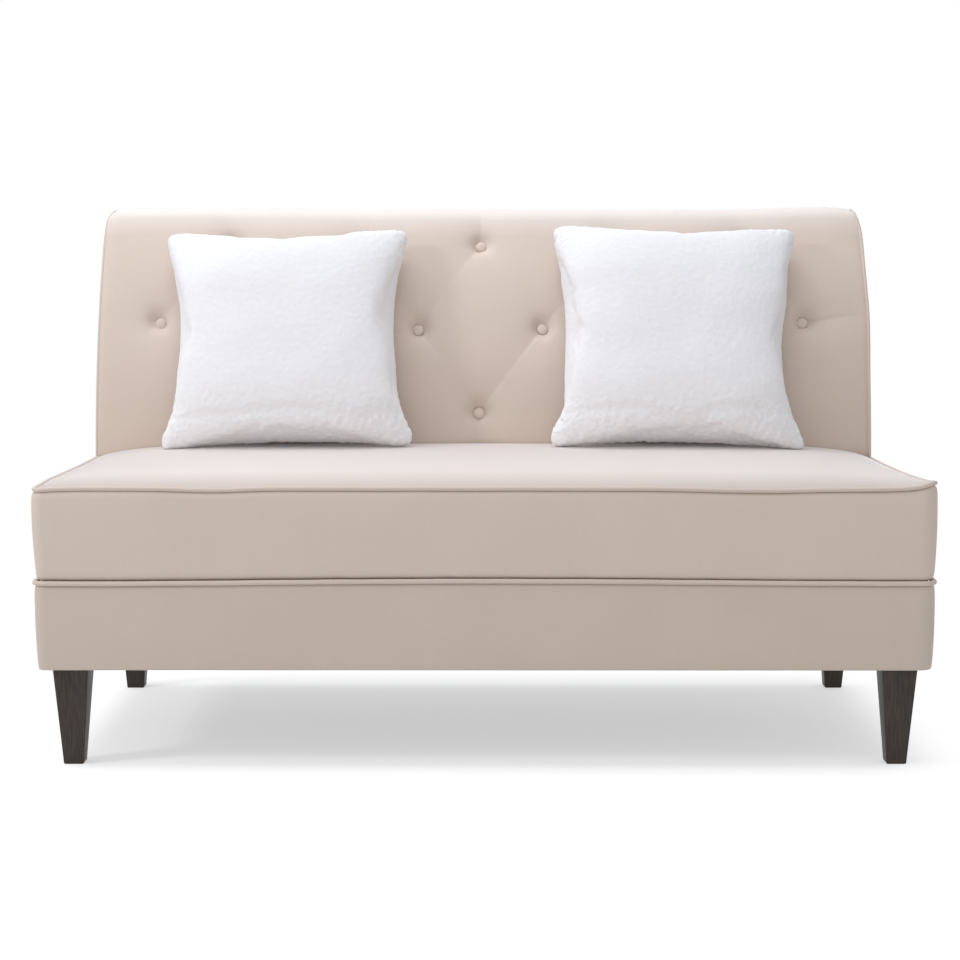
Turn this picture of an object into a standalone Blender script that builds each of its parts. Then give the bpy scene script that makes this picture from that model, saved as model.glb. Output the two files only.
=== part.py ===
"""Armless settee: a sprung, welted seat and a tufted, rolled back on a timber frame, with loose pillows.

Metres, +Z up. The front faces -Y and the sitter's right hand is at -X. The origin is on the floor, under
the middle of the whole piece. Depths are measured from the front face of the seat boxing and turned into
Y by depth_to_y.
"""

import math

import bmesh
import bpy
from mathutils import Matrix, Vector

# Overall sizes
SEAT_WIDTH = 1.342
SEAT_DEPTH = 0.5275
BACK_FOOT_DEPTH = 0.1405
BACK_HEIGHT = 0.859
LEG_HEIGHT = 0.151
BASE_HEIGHT = 0.1375
BOXING_HEIGHT = 0.1369
CROWN_HEIGHT = 0.0226

# Gaps and cloth
CLEARANCE = 0.0003
SEATING_GAP = 0.0008
COVER_THICKNESS = 0.003
DUST_COVER_THICKNESS = 0.0008

# Welts: round piping sewn into the seams
WELT_RADIUS = 0.004
LOWER_WELT_SINK = 0.0015
BACK_WELT_SINK = 0.002
CORNER_RADIUS = 0.022

# Side outline of the back
LOWER_BACK_RISE = 0.1315
LEAN_LOW = math.radians(4)
LEAN_HIGH = math.radians(33)
REAR_LEAN = math.radians(30)
ROLL_RADIUS = 0.045
QUILT_THICKNESS = 0.020
BACK_FOAM_THICKNESS = 0.0247
HESSIAN_THICKNESS = 0.0012

# Tufting: columns in shares of the seat's width, rows in shares of the run from the lower welt to the roll
BUTTON_COLUMN_SHARE = 0.16729
FIRST_BUTTON_ROW_SHARE = 0.37205
BUTTON_ROW_SHARE = 0.26476
BUTTONS_IN_ROWS = (5, 6, 5)
TUFT_DEPTH = 0.0105
TUFT_RADIUS = 0.050
FOLD_DEPTH = 0.0045
FOLD_HALF_WIDTH = 0.026
EDGE_ROUNDING = 0.006
EDGE_ROUNDING_WIDTH = 0.030
BUTTON_RADIUS = 0.0098
BUTTON_RIM = 0.0022
BUTTON_DOME = 0.0040
BUTTON_SHOULDER_SHARES = (0.72, 0.6)
BUTTON_SHANK_RADIUS = 0.0026
BUTTON_SHANK_LENGTH = 0.0022

# Timber
RAIL_THICKNESS = 0.025
RAIL_DROP = 0.008
CROSS_RAIL_HEIGHT = 0.080
CROSS_RAIL_SETBACK = 0.0005
TOP_RAIL_THICKNESS = 0.025
CORNER_BLOCK_SIDE = 0.080
CORNER_BLOCK_HEIGHT = 0.040

# Legs and the bolts that hold them
LEG_TOP_SIDE = 0.054
LEG_BOTTOM_SIDE = 0.030
LEG_EDGE_BEVEL = 0.0012
LEG_SIDE_INSET = 0.016
LEG_FRONT_INSET = 0.020
LEG_REAR_INSET = 0.018
BOLT_RADIUS = 0.004
BOLT_IN_LEG = 0.035
BOLT_IN_BLOCK = 0.032
BOLT_HOLE_CLEARANCE = 0.0004
ROUND_SIDES = 12

# Seat springs and the strips that hold them
SPRING_COUNT = 5
SPRING_PITCH = 0.240
SPRING_HALF_WIDTH = 0.030
SPRING_BARS = 17
SPRING_WIRE_RADIUS = 0.0019
SPRING_END_SETBACK = 0.0145
STRIP_THICKNESS = 0.001
STRIP_DEPTH = 0.020
STRIP_MARGIN = 0.003
STRIP_END_MARGIN = 0.040
HOOK_WIDTH = 0.020
HOOK_LIP = 0.0055

# Seat padding
FOAM_LIFT = 0.005
PANEL_EDGE_RISE = 0.002
CROWN_SIDE_POWER = 4.85
CROWN_FRONT_POWER = 4.0

# Loose pillows
PILLOW_WIDTH = 0.420
PILLOW_HEIGHT = 0.405
PILLOW_FRONT_BULGE = 0.088
PILLOW_BACK_BULGE = 0.036
PILLOW_DRAWN_IN = 0.021
PILLOW_CORNER_RADIUS = 0.022
PILLOW_BULGE_POWER = 0.62
PILLOW_CENTRE = 0.336
PILLOW_LEAN = math.radians(22.5)
PILLOW_TILT = math.radians(1.0)
PILLOW_CELLS = 14

# Heights worked out from the sizes
HALF_WIDTH = SEAT_WIDTH / 2
LOWER_WELT_Z = LEG_HEIGHT + BASE_HEIGHT
UPPER_WELT_Z = LOWER_WELT_Z + BOXING_HEIGHT
CROWN_Z = UPPER_WELT_Z + CROWN_HEIGHT
DUST_COVER_Z = LEG_HEIGHT + CLEARANCE
FRAME_Z = DUST_COVER_Z + DUST_COVER_THICKNESS + CLEARANCE
RAIL_TOP_Z = LOWER_WELT_Z - RAIL_DROP
FOAM_BOTTOM_Z = LOWER_WELT_Z + FOAM_LIFT
FOAM_TOP_Z = UPPER_WELT_Z - WELT_RADIUS + CLEARANCE / 2
PANEL_BOTTOM_Z = FOAM_TOP_Z + CLEARANCE

# Distances in from the outside, worked out from the sizes
BEHIND_COVER = COVER_THICKNESS + CLEARANCE
FOAM_INSET = QUILT_THICKNESS + CLEARANCE
HESSIAN_INSET = FOAM_INSET + BACK_FOAM_THICKNESS + CLEARANCE
POST_INSET = HESSIAN_INSET + HESSIAN_THICKNESS + CLEARANCE
BACK_WELT_X = HALF_WIDTH - BACK_WELT_SINK
BESIDE_BACK_WELT = BACK_WELT_X - WELT_RADIUS - CLEARANCE
SIDE_PANEL_THICKNESS = HALF_WIDTH - BESIDE_BACK_WELT - CLEARANCE
BETWEEN_SIDE_RAILS = BESIDE_BACK_WELT - RAIL_THICKNESS - CLEARANCE
BEHIND_BACK_WELT = BACK_WELT_SINK + WELT_RADIUS + CLEARANCE
BEFORE_BACK = WELT_RADIUS - BACK_WELT_SINK + 2 * CLEARANCE

# The back's outside, in four runs: lower front straight, front arc, roll and rear arc
BASE_DEPTH = SEAT_DEPTH + BACK_FOOT_DEPTH
FRONT_ARC_DEPTH = SEAT_DEPTH + LOWER_BACK_RISE * math.tan(LEAN_LOW)
FRONT_ARC_Z = LOWER_WELT_Z + LOWER_BACK_RISE
ROLL_Z = BACK_HEIGHT - ROLL_RADIUS
FRONT_ARC_RISE = ROLL_Z + ROLL_RADIUS * math.sin(LEAN_HIGH) - FRONT_ARC_Z
FRONT_ARC_RADIUS = FRONT_ARC_RISE / (math.sin(LEAN_HIGH) - math.sin(LEAN_LOW))
FRONT_ARC_LEAN = FRONT_ARC_RADIUS * (math.cos(LEAN_LOW) - math.cos(LEAN_HIGH))
ROLL_DEPTH = FRONT_ARC_DEPTH + FRONT_ARC_LEAN + ROLL_RADIUS * math.cos(LEAN_HIGH)
REAR_ARC_LEAN = ROLL_DEPTH + ROLL_RADIUS * math.cos(REAR_LEAN) - BASE_DEPTH
REAR_ARC_RADIUS = REAR_ARC_LEAN / (1 - math.cos(REAR_LEAN))
REAR_ARC_Z = ROLL_Z - (ROLL_RADIUS + REAR_ARC_RADIUS) * math.sin(REAR_LEAN)
LOWER_RUN = LOWER_BACK_RISE / math.cos(LEAN_LOW)
FRONT_END = LOWER_RUN + FRONT_ARC_RADIUS * (LEAN_HIGH - LEAN_LOW)
CREST = FRONT_END + ROLL_RADIUS * (math.pi / 2 - LEAN_HIGH)
ROLL_END = FRONT_END + ROLL_RADIUS * (math.pi + REAR_LEAN - LEAN_HIGH)
REAR_ARC_END = ROLL_END + REAR_ARC_RADIUS * REAR_LEAN
BUTTON_COLUMN_PITCH = SEAT_WIDTH * BUTTON_COLUMN_SHARE
BUTTON_ROW_PITCH = FRONT_END * BUTTON_ROW_SHARE
FIRST_BUTTON_ROW = FRONT_END * FIRST_BUTTON_ROW_SHARE

# The seat's front welt and the back's roll are the foremost and rearmost points
FOREMOST = -WELT_RADIUS
REARMOST = ROLL_DEPTH + ROLL_RADIUS + WELT_RADIUS - BACK_WELT_SINK
MIDDLE_DEPTH = (FOREMOST + REARMOST) / 2

LEG_X = HALF_WIDTH - LEG_SIDE_INSET - LEG_TOP_SIDE / 2
LEG_DEPTHS = {
    "front": LEG_FRONT_INSET + LEG_TOP_SIDE / 2,
    "rear": BASE_DEPTH - LEG_REAR_INSET - LEG_TOP_SIDE / 2,
}
SIDES = {"left": -1, "right": 1}


def depth_to_y(depth):
    return depth - MIDDLE_DEPTH


def back_station(distance):
    """Depth, height and heading at a distance along the back's outside, from the lower welt up and over.

    The heading is the angle from straight up, so 90 degrees is the crest and 180 degrees points down.
    """
    if distance <= LOWER_RUN:
        return (
            SEAT_DEPTH + distance * math.sin(LEAN_LOW),
            LOWER_WELT_Z + distance * math.cos(LEAN_LOW),
            LEAN_LOW,
        )
    if distance <= FRONT_END:
        heading = LEAN_LOW + (distance - LOWER_RUN) / FRONT_ARC_RADIUS
        depth = FRONT_ARC_DEPTH + FRONT_ARC_RADIUS * (math.cos(LEAN_LOW) - math.cos(heading))
        height = FRONT_ARC_Z + FRONT_ARC_RADIUS * (math.sin(heading) - math.sin(LEAN_LOW))
        return depth, height, heading
    if distance <= ROLL_END:
        heading = LEAN_HIGH + (distance - FRONT_END) / ROLL_RADIUS
        depth = ROLL_DEPTH - ROLL_RADIUS * math.cos(heading)
        return depth, ROLL_Z + ROLL_RADIUS * math.sin(heading), heading
    if distance <= REAR_ARC_END:
        lean = REAR_LEAN - (distance - ROLL_END) / REAR_ARC_RADIUS
        depth = BASE_DEPTH + REAR_ARC_RADIUS * (1 - math.cos(lean))
        return depth, REAR_ARC_Z + REAR_ARC_RADIUS * math.sin(lean), math.pi + lean
    return BASE_DEPTH, REAR_ARC_Z - (distance - REAR_ARC_END), math.pi


def back_point(distance, inset):
    """Y and Z of a point this far inside the back's outside."""
    depth, height, heading = back_station(distance)
    return depth_to_y(depth + inset * math.cos(heading)), height - inset * math.sin(heading)


def rear_distance(height):
    """Distance along the outside at which the straight rear comes down to this height."""
    return REAR_ARC_END + REAR_ARC_Z - height


def front_distance(height):
    """Distance along the outside at which the lower front straight reaches this height."""
    return (height - LOWER_WELT_Z) / math.cos(LEAN_LOW)


def front_stations():
    """Distances at which the layers of the back's front bend, from the seat deck to the start of the roll."""
    stations = [front_distance(FOAM_BOTTOM_Z), front_distance(UPPER_WELT_Z)]
    rows = [FIRST_BUTTON_ROW + row * BUTTON_ROW_PITCH for row in range(len(BUTTONS_IN_ROWS))]
    stations.append(rows[0] - BUTTON_ROW_PITCH / 4)
    for low, high in zip(rows, rows[1:]):
        stations += spread(low, high, 4)[:-1]
    return stations + spread(rows[-1], FRONT_END, 2)


def roll_stations():
    """Distances at which the layers of the roll bend."""
    return spread(FRONT_END, ROLL_END, 8)


def rear_stations():
    """Distances at which the layers of the outside back bend."""
    return spread(ROLL_END, REAR_ARC_END, 8)


def front_line_depth(height):
    """Depth of the lower front straight, continued up, at this height."""
    return SEAT_DEPTH + (height - LOWER_WELT_Z) * math.tan(LEAN_LOW)


def seat_rear_depth(height):
    """Depth of the seat's rear face, just in front of the back and its welts."""
    return front_line_depth(height) - BEFORE_BACK


def front_arc_distance(height):
    """Distance along the outside at which the front arc reaches this height."""
    rise = max(0, height - FRONT_ARC_Z) / FRONT_ARC_RADIUS
    heading = math.asin(min(math.sin(LEAN_HIGH), math.sin(LEAN_LOW) + rise))
    return LOWER_RUN + (heading - LEAN_LOW) * FRONT_ARC_RADIUS


def spread(first, last, count):
    """count + 1 values, evenly spaced from first to last."""
    return [first + (last - first) * i / count for i in range(count + 1)]


def make_material(name, colour, roughness, metallic=0):
    material = bpy.data.materials.new(name)
    material.use_nodes = True
    shader = material.node_tree.nodes["Principled BSDF"]
    shader.inputs["Base Color"].default_value = (*colour, 1)
    shader.inputs["Roughness"].default_value = roughness
    shader.inputs["Metallic"].default_value = metallic
    return material


def add_object(name, data, material, smooth_angle=None):
    """Link one named object; round pieces give the angle under which their faces blend."""
    piece = bpy.data.objects.new(name, data)
    bpy.context.scene.collection.objects.link(piece)
    if not data.materials:
        data.materials.append(material)
    if smooth_angle is not None:
        data.shade_smooth()
        data.set_sharp_from_angle(angle=smooth_angle)
    return piece


def add_solid(name, points, faces, material, smooth_angle=None):
    """A closed mesh from points and faces, with its faces turned outwards."""
    mesh = bpy.data.meshes.new(name)
    shape = bmesh.new()
    corners = [shape.verts.new(point) for point in points]
    for face in faces:
        shape.faces.new([corners[i] for i in face])
    bmesh.ops.recalc_face_normals(shape, faces=shape.faces)
    if shape.calc_volume(signed=True) < 0:
        bmesh.ops.reverse_faces(shape, faces=shape.faces)
    shape.to_mesh(mesh)
    shape.free()
    return add_object(name, mesh, material, smooth_angle)


def add_box(name, low, high, material):
    """A board between two corners."""
    mesh = bpy.data.meshes.new(name)
    shape = bmesh.new()
    size = [high[i] - low[i] for i in range(3)]
    middle = [(high[i] + low[i]) / 2 for i in range(3)]
    place = Matrix.Translation(middle) @ Matrix.Diagonal((*size, 1))
    bmesh.ops.create_cube(shape, size=1, matrix=place)
    shape.to_mesh(mesh)
    shape.free()
    return add_object(name, mesh, material)


def add_block(name, low_ring, high_ring, material, smooth_angle=None):
    """A solid between two flat rings of points that match one for one."""
    count = len(low_ring)
    faces = [(i, (i + 1) % count, count + (i + 1) % count, count + i) for i in range(count)]
    faces += [tuple(range(count)), tuple(range(count, 2 * count))]
    return add_solid(name, low_ring + high_ring, faces, material, smooth_angle)


def add_prism(name, outline, low_x, high_x, material, smooth_angle=None):
    """An outline of (y, z) points carried along X."""
    rings = [[(x, y, z) for y, z in outline] for x in (low_x, high_x)]
    return add_block(name, *rings, material, smooth_angle)


def add_plate(name, outline, low_z, high_z, material):
    """An outline of (x, y) points carried up."""
    rings = [[(x, y, z) for x, y in outline] for z in (low_z, high_z)]
    return add_block(name, *rings, material)


def add_tube(name, points, radius, resolution, material):
    """A round cord or wire along a list of points, closed at both ends."""
    curve = bpy.data.curves.new(name, "CURVE")
    curve.dimensions = "3D"
    curve.bevel_depth = radius
    curve.bevel_resolution = resolution
    curve.use_fill_caps = True
    line = curve.splines.new("POLY")
    line.points.add(len(points) - 1)
    for target, point in zip(line.points, points):
        target.co = (*point, 1)
    curve.materials.append(material)
    piece = bpy.data.objects.new(name, curve)
    bpy.context.scene.collection.objects.link(piece)
    return piece


def cut(piece, cutter):
    """Take the cutter's shape out of the piece."""
    hole = piece.modifiers.new("hole", "BOOLEAN")
    hole.object = cutter
    hole.operation = "DIFFERENCE"


def seat_outline(inset, rear_depth, corner_steps=6):
    """The seat's plan as an open line from the rear left, round the two front corners, to the rear right."""
    half = HALF_WIDTH - inset
    radius = CORNER_RADIUS - inset
    line = [(-half, depth_to_y(rear_depth))]
    for side, start in ((-1, math.pi), (1, -math.pi / 2)):
        centre_x = side * (half - radius)
        centre_y = depth_to_y(inset + radius)
        for turn in spread(start, start + math.pi / 2, corner_steps):
            line.append((centre_x + radius * math.cos(turn), centre_y + radius * math.sin(turn)))
    line.append((half, depth_to_y(rear_depth)))
    return line


def add_band(name, low_z, high_z, rear_depth_at, material):
    """A strip of cover that goes round the front and both sides, with its rear ends cut to a slope."""
    rings = []
    for height in (low_z, high_z):
        rear = rear_depth_at(height)
        outside = seat_outline(0, rear)
        inside = seat_outline(COVER_THICKNESS, rear)
        rings.append([(x, y, height) for x, y in outside + inside[::-1]])
    count = len(rings[0])
    half = count // 2
    faces = [(i, (i + 1) % count, count + (i + 1) % count, count + i) for i in range(count)]
    for start in (0, count):
        last = start + count - 1
        faces += [(start + i, start + i + 1, last - i - 1, last - i) for i in range(half - 1)]
    return add_solid(name, rings[0] + rings[1], faces, material, math.radians(40))


def add_seat_welt(name, height, sink, rear_depth, material):
    """Piping round the front and both sides of the seat."""
    line = seat_outline(sink, rear_depth)
    return add_tube(name, [(x, y, height) for x, y in line], WELT_RADIUS, 1, material)


def crown_height(x, depth):
    """Height of the crowned seat top at a place on it."""
    reach = min(1, abs(x) / (HALF_WIDTH - WELT_RADIUS - CLEARANCE))
    back = min(1, max(0, depth / SEAT_DEPTH))
    rise = (1 - reach**CROWN_SIDE_POWER) * (1 - (1 - back) ** CROWN_FRONT_POWER)
    edge = UPPER_WELT_Z + PANEL_EDGE_RISE
    return edge + (CROWN_Z - edge) * rise


def within_corner(x, depth, edge):
    """A point of the seat top, drawn in where it would lie outside the rounded front corner of this edge."""
    radius = CORNER_RADIUS - edge
    from_centre = Vector((abs(x) - (HALF_WIDTH - CORNER_RADIUS), CORNER_RADIUS - depth))
    if min(from_centre) < 0 or from_centre.length < radius:
        return x, depth
    from_centre *= radius / from_centre.length
    return math.copysign(HALF_WIDTH - CORNER_RADIUS + from_centre.x, x), CORNER_RADIUS - from_centre.y


def add_seat_top(material):
    """The crowned top panel of the seat, with its rear edge against the back."""
    columns, rows = 24, 12
    crowding = 1.5
    half = HALF_WIDTH - WELT_RADIUS - CLEARANCE
    front = WELT_RADIUS + CLEARANCE
    shares = [i / (columns / 2) - 1 for i in range(columns + 1)]
    across = [math.copysign(half * (1 - (1 - abs(share)) ** crowding), share) for share in shares]
    points = []
    for row in range(rows + 1):
        share = (row / rows) ** crowding
        for x in across:
            depth = front + (seat_rear_depth(CROWN_Z) - front) * share
            height = crown_height(x, depth if row else 0)
            x, depth = within_corner(x, depth, front)
            points.append((x, depth_to_y(depth), height))
    width = columns + 1
    faces = []
    for row in range(rows):
        for column in range(columns):
            start = row * width + column
            faces.append((start, start + 1, start + width + 1, start + width))
    rim = list(range(width))
    rim += [row * width + columns for row in range(1, rows + 1)]
    rim += [rows * width + column for column in range(columns - 1, -1, -1)]
    rim += [row * width for row in range(rows - 1, 0, -1)]
    first = len(points)
    rear_bottom_y = depth_to_y(seat_rear_depth(PANEL_BOTTOM_Z))
    for i in rim:
        x, y, _ = points[i]
        points.append((x, rear_bottom_y if i >= rows * width else y, PANEL_BOTTOM_Z))
    count = len(rim)
    for i in range(count):
        after = (i + 1) % count
        faces.append((rim[i], rim[after], first + after, first + i))
    faces.append(tuple(range(first, first + count)))
    return add_solid("seat_top_panel", points, faces, material, math.radians(50))


def button_places():
    """(x, distance along the back) of each button, row by row from the seat up."""
    places = []
    for row, count in enumerate(BUTTONS_IN_ROWS):
        for column in range(count):
            x = (column - (count - 1) / 2) * BUTTON_COLUMN_PITCH
            places.append((x, FIRST_BUTTON_ROW + row * BUTTON_ROW_PITCH))
    return places


def fold_lines():
    """Pairs of neighbouring buttons in touching rows, which a diagonal fold joins."""
    places = button_places()
    near = 1.1 * math.hypot(BUTTON_COLUMN_PITCH / 2, BUTTON_ROW_PITCH)
    folds = []
    for i, first in enumerate(places):
        for second in places[i + 1 :]:
            if first[1] != second[1] and math.dist(first, second) < near:
                folds.append((first, second))
    return folds


def distance_to_line(point, first, second):
    """How far a point is from the straight line between two others."""
    along = Vector(second) - Vector(first)
    share = (Vector(point) - Vector(first)).dot(along) / along.length_squared
    nearest = Vector(first) + along * min(1, max(0, share))
    return (Vector(point) - nearest).length


def tuft_inset(x, distance, edge_x):
    """How far the tufted face lies inside the back's outside."""
    point = (x, distance)
    nearest_button = min(math.dist(point, place) for place in button_places())
    nearest_fold = min(distance_to_line(point, *fold) for fold in fold_lines())
    inset = TUFT_DEPTH * math.exp(-((nearest_button / TUFT_RADIUS) ** 2))
    inset += FOLD_DEPTH * math.exp(-((nearest_fold / FOLD_HALF_WIDTH) ** 2))
    beyond = max(0, abs(x) - (edge_x - EDGE_ROUNDING_WIDTH)) / EDGE_ROUNDING_WIDTH
    return max(inset, EDGE_ROUNDING * beyond**2)


def quilt_inner_inset(distance):
    """The quilt's inner face: full thickness up the front, down to a single cloth at the rear of the roll."""
    share = min(1, max(0, (distance - CREST) / (ROLL_END - CREST)))
    return QUILT_THICKNESS + (COVER_THICKNESS - QUILT_THICKNESS) * share


def add_tufted_cover(material):
    """The inside back: tufted cloth and wadding from the seat deck up the front and over the roll."""
    edge_x = BESIDE_BACK_WELT
    step = BUTTON_COLUMN_PITCH / 8
    steps = int(edge_x / step)
    inner_columns = [i * step for i in range(-steps, steps + 1)]
    columns = [-edge_x, *inner_columns, edge_x]
    rows = front_stations() + roll_stations()[1:]
    width = len(columns)
    points = []
    for distance in rows:
        fade = min(1, max(0, (CREST - distance) / (CREST - FRONT_END)))
        for x in columns:
            y, z = back_point(distance, fade * tuft_inset(x, distance, edge_x))
            points.append((x, y, z))
    faces = []
    for row in range(len(rows) - 1):
        for column in range(width - 1):
            start = row * width + column
            faces.append((start, start + 1, start + width + 1, start + width))
    first = len(points)
    for distance in rows:
        y, z = back_point(distance, quilt_inner_inset(distance))
        points += [(-edge_x, y, z), (edge_x, y, z)]
    for row in range(len(rows) - 1):
        left, right = row * width, row * width + width - 1
        inner = first + 2 * row
        faces.append((left, left + width, inner + 2, inner))
        faces.append((right, right + width, inner + 3, inner + 1))
        faces.append((inner, inner + 1, inner + 3, inner + 2))
    last_row = (len(rows) - 1) * width
    last_inner = first + 2 * (len(rows) - 1)
    faces.append((*range(width), first + 1, first))
    faces.append((*range(last_row, last_row + width), last_inner + 1, last_inner))
    return add_solid("back_tufted_cover", points, faces, material, math.radians(60))


def add_first_button(material):
    """A cloth-covered button: a low dome on a rim, with a shank behind. It stands along its own +Z."""
    under = BUTTON_SHANK_LENGTH
    shoulder_radius = BUTTON_RADIUS * BUTTON_SHOULDER_SHARES[0]
    shoulder_height = under + BUTTON_RIM + BUTTON_DOME * BUTTON_SHOULDER_SHARES[1]
    profile = [
        (BUTTON_SHANK_RADIUS, 0),
        (BUTTON_SHANK_RADIUS, under),
        (BUTTON_RADIUS, under),
        (BUTTON_RADIUS, under + BUTTON_RIM),
        (shoulder_radius, shoulder_height),
    ]
    sides = 10
    points = [(0, 0, 0)]
    rings = []
    for radius, height in profile:
        rings.append(len(points))
        for i in range(sides):
            turn = 2 * math.pi * i / sides
            points.append((radius * math.cos(turn), radius * math.sin(turn), height))
    points.append((0, 0, under + BUTTON_RIM + BUTTON_DOME))
    faces = []
    for i in range(sides):
        after = (i + 1) % sides
        faces.append((0, rings[0] + after, rings[0] + i))
        faces.append((len(points) - 1, rings[-1] + i, rings[-1] + after))
        for low, high in zip(rings, rings[1:]):
            faces.append((low + i, low + after, high + after, high + i))
    return add_solid("button_01", points, faces, material, math.radians(50))


def add_buttons(material):
    """One button in each tuft, square to the back there."""
    first = add_first_button(material)
    for i, (x, distance) in enumerate(button_places()):
        name = f"button_{i + 1:02d}"
        button = first if i == 0 else add_object(name, first.data, material)
        inset = tuft_inset(x, distance, BESIDE_BACK_WELT) - SEATING_GAP
        y, z = back_point(distance, inset)
        heading = back_station(distance)[2]
        button.location = (x, y, z)
        button.rotation_euler = (math.pi / 2 - heading, 0, 0)


def add_back_foam(material):
    """Foam from the seat deck up the front and over the top of the frame."""
    outer_stations = front_stations() + roll_stations()[1:]
    outline = [back_point(s, quilt_inner_inset(s) + CLEARANCE) for s in outer_stations]
    inner_inset = FOAM_INSET + BACK_FOAM_THICKNESS
    outline += [back_point(s, inner_inset) for s in reversed(front_stations())]
    add_prism("back_foam", outline, -BESIDE_BACK_WELT, BESIDE_BACK_WELT, material)


def add_back_frame(wood, hessian):
    """Two shaped posts from the base to the roll, the top rail between them and the hessian on them."""
    stations = [*front_stations()[:-1], FRONT_END - SEATING_GAP]
    post = [back_point(s, POST_INSET) for s in stations]
    rear = [ROLL_END + SEATING_GAP, *rear_stations()[1:]]
    post += [back_point(s, BEHIND_COVER) for s in rear]
    post.append((depth_to_y(BASE_DEPTH - BEHIND_COVER), FRAME_Z))
    post.append((post[0][0], FRAME_Z))
    for side, sign in SIDES.items():
        ends = sorted((sign * BESIDE_BACK_WELT, sign * (BESIDE_BACK_WELT - RAIL_THICKNESS)))
        add_prism(f"{side}_back_post", post, *ends, wood)
    above_buttons = stations[-3:]
    rail = [back_point(s, POST_INSET) for s in above_buttons]
    rail += [back_point(s, POST_INSET + TOP_RAIL_THICKNESS) for s in reversed(above_buttons)]
    add_prism("back_top_rail", rail, -BETWEEN_SIDE_RAILS, BETWEEN_SIDE_RAILS, wood)
    sheet = [back_point(s, HESSIAN_INSET) for s in stations]
    sheet += [back_point(s, HESSIAN_INSET + HESSIAN_THICKNESS) for s in reversed(stations)]
    add_prism("back_hessian", sheet, -BESIDE_BACK_WELT, BESIDE_BACK_WELT, hessian)


def add_back_covers(cloth):
    """Side panels, the outside back and the piping round each side panel."""
    bottom_z = LOWER_WELT_Z + WELT_RADIUS - LOWER_WELT_SINK + COVER_THICKNESS
    front_bottom, rear_bottom = front_distance(bottom_z), rear_distance(bottom_z)
    stations = [front_bottom, *spread(LOWER_RUN, FRONT_END, 9), *roll_stations()[1:]]
    stations += [*rear_stations()[1:], rear_bottom]
    panel = [back_point(s, BEHIND_BACK_WELT) for s in stations]
    for side, sign in SIDES.items():
        ends = sorted((sign * HALF_WIDTH, sign * (HALF_WIDTH - SIDE_PANEL_THICKNESS)))
        add_prism(f"{side}_back_side_panel", panel, *ends, cloth, math.radians(40))
        line = [(sign * BACK_WELT_X, *back_point(s, BACK_WELT_SINK)) for s in stations]
        add_tube(f"{side}_back_welt", line, WELT_RADIUS, 1, cloth)
    stations = [ROLL_END + CLEARANCE, *rear_stations()[1:], rear_distance(DUST_COVER_Z)]
    sheet = [back_point(s, 0) for s in stations]
    sheet += [back_point(s, COVER_THICKNESS) for s in reversed(stations)]
    add_prism("outside_back_panel", sheet, -BESIDE_BACK_WELT, BESIDE_BACK_WELT, cloth, math.radians(40))


def base_plan(rear_depth):
    """The timber base's plan back to this depth, with its front corners cut off to fit the rounded cover."""
    front, rear = depth_to_y(BEHIND_COVER), depth_to_y(rear_depth)
    half = BESIDE_BACK_WELT
    right_half = [(half - CORNER_RADIUS, front), (half, front + CORNER_RADIUS), (half, rear)]
    return right_half + [(-x, y) for x, y in reversed(right_half)]


def add_seat_frame(wood):
    """Rails of the base, the cross rail that carries the rear of the springs, and four corner blocks."""
    front = depth_to_y(BEHIND_COVER)
    behind_front_rail = front + RAIL_THICKNESS + CLEARANCE
    rear = depth_to_y(BASE_DEPTH - BEHIND_COVER)
    before_rear_rail = rear - RAIL_THICKNESS - CLEARANCE
    post_front = back_point(front_distance(FOAM_BOTTOM_Z), POST_INSET)[0]
    add_plate("front_seat_rail", base_plan(BEHIND_COVER + RAIL_THICKNESS), FRAME_Z, RAIL_TOP_Z, wood)
    low = (-BETWEEN_SIDE_RAILS, rear - RAIL_THICKNESS, FRAME_Z)
    add_box("rear_seat_rail", low, (BETWEEN_SIDE_RAILS, rear, RAIL_TOP_Z), wood)
    for side, sign in SIDES.items():
        ends = sorted((sign * BESIDE_BACK_WELT, sign * (BESIDE_BACK_WELT - RAIL_THICKNESS)))
        low, high = (ends[0], behind_front_rail, FRAME_Z), (ends[1], post_front - CLEARANCE, RAIL_TOP_Z)
        add_box(f"{side}_seat_rail", low, high, wood)
    cross = depth_to_y(SEAT_DEPTH + CROSS_RAIL_SETBACK)
    low = (-BETWEEN_SIDE_RAILS, cross, RAIL_TOP_Z - CROSS_RAIL_HEIGHT)
    add_box("spring_cross_rail", low, (BETWEEN_SIDE_RAILS, cross + RAIL_THICKNESS, RAIL_TOP_Z), wood)
    blocks = []
    for side, sign in SIDES.items():
        for end, y, into in (("front", behind_front_rail, 1), ("rear", before_rear_rail, -1)):
            x = sign * BETWEEN_SIDE_RAILS
            plan = [(x, y), (x - sign * CORNER_BLOCK_SIDE, y), (x, y + into * CORNER_BLOCK_SIDE)]
            name = f"{side}_{end}_corner_block"
            blocks.append(add_plate(name, plan, FRAME_Z, FRAME_Z + CORNER_BLOCK_HEIGHT, wood))
    return blocks


def leg_places():
    """(name, x, y) of each leg's centre line."""
    places = []
    for side, sign in SIDES.items():
        for end, depth in LEG_DEPTHS.items():
            places.append((f"{side}_{end}", sign * LEG_X, depth_to_y(depth)))
    return places


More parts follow.
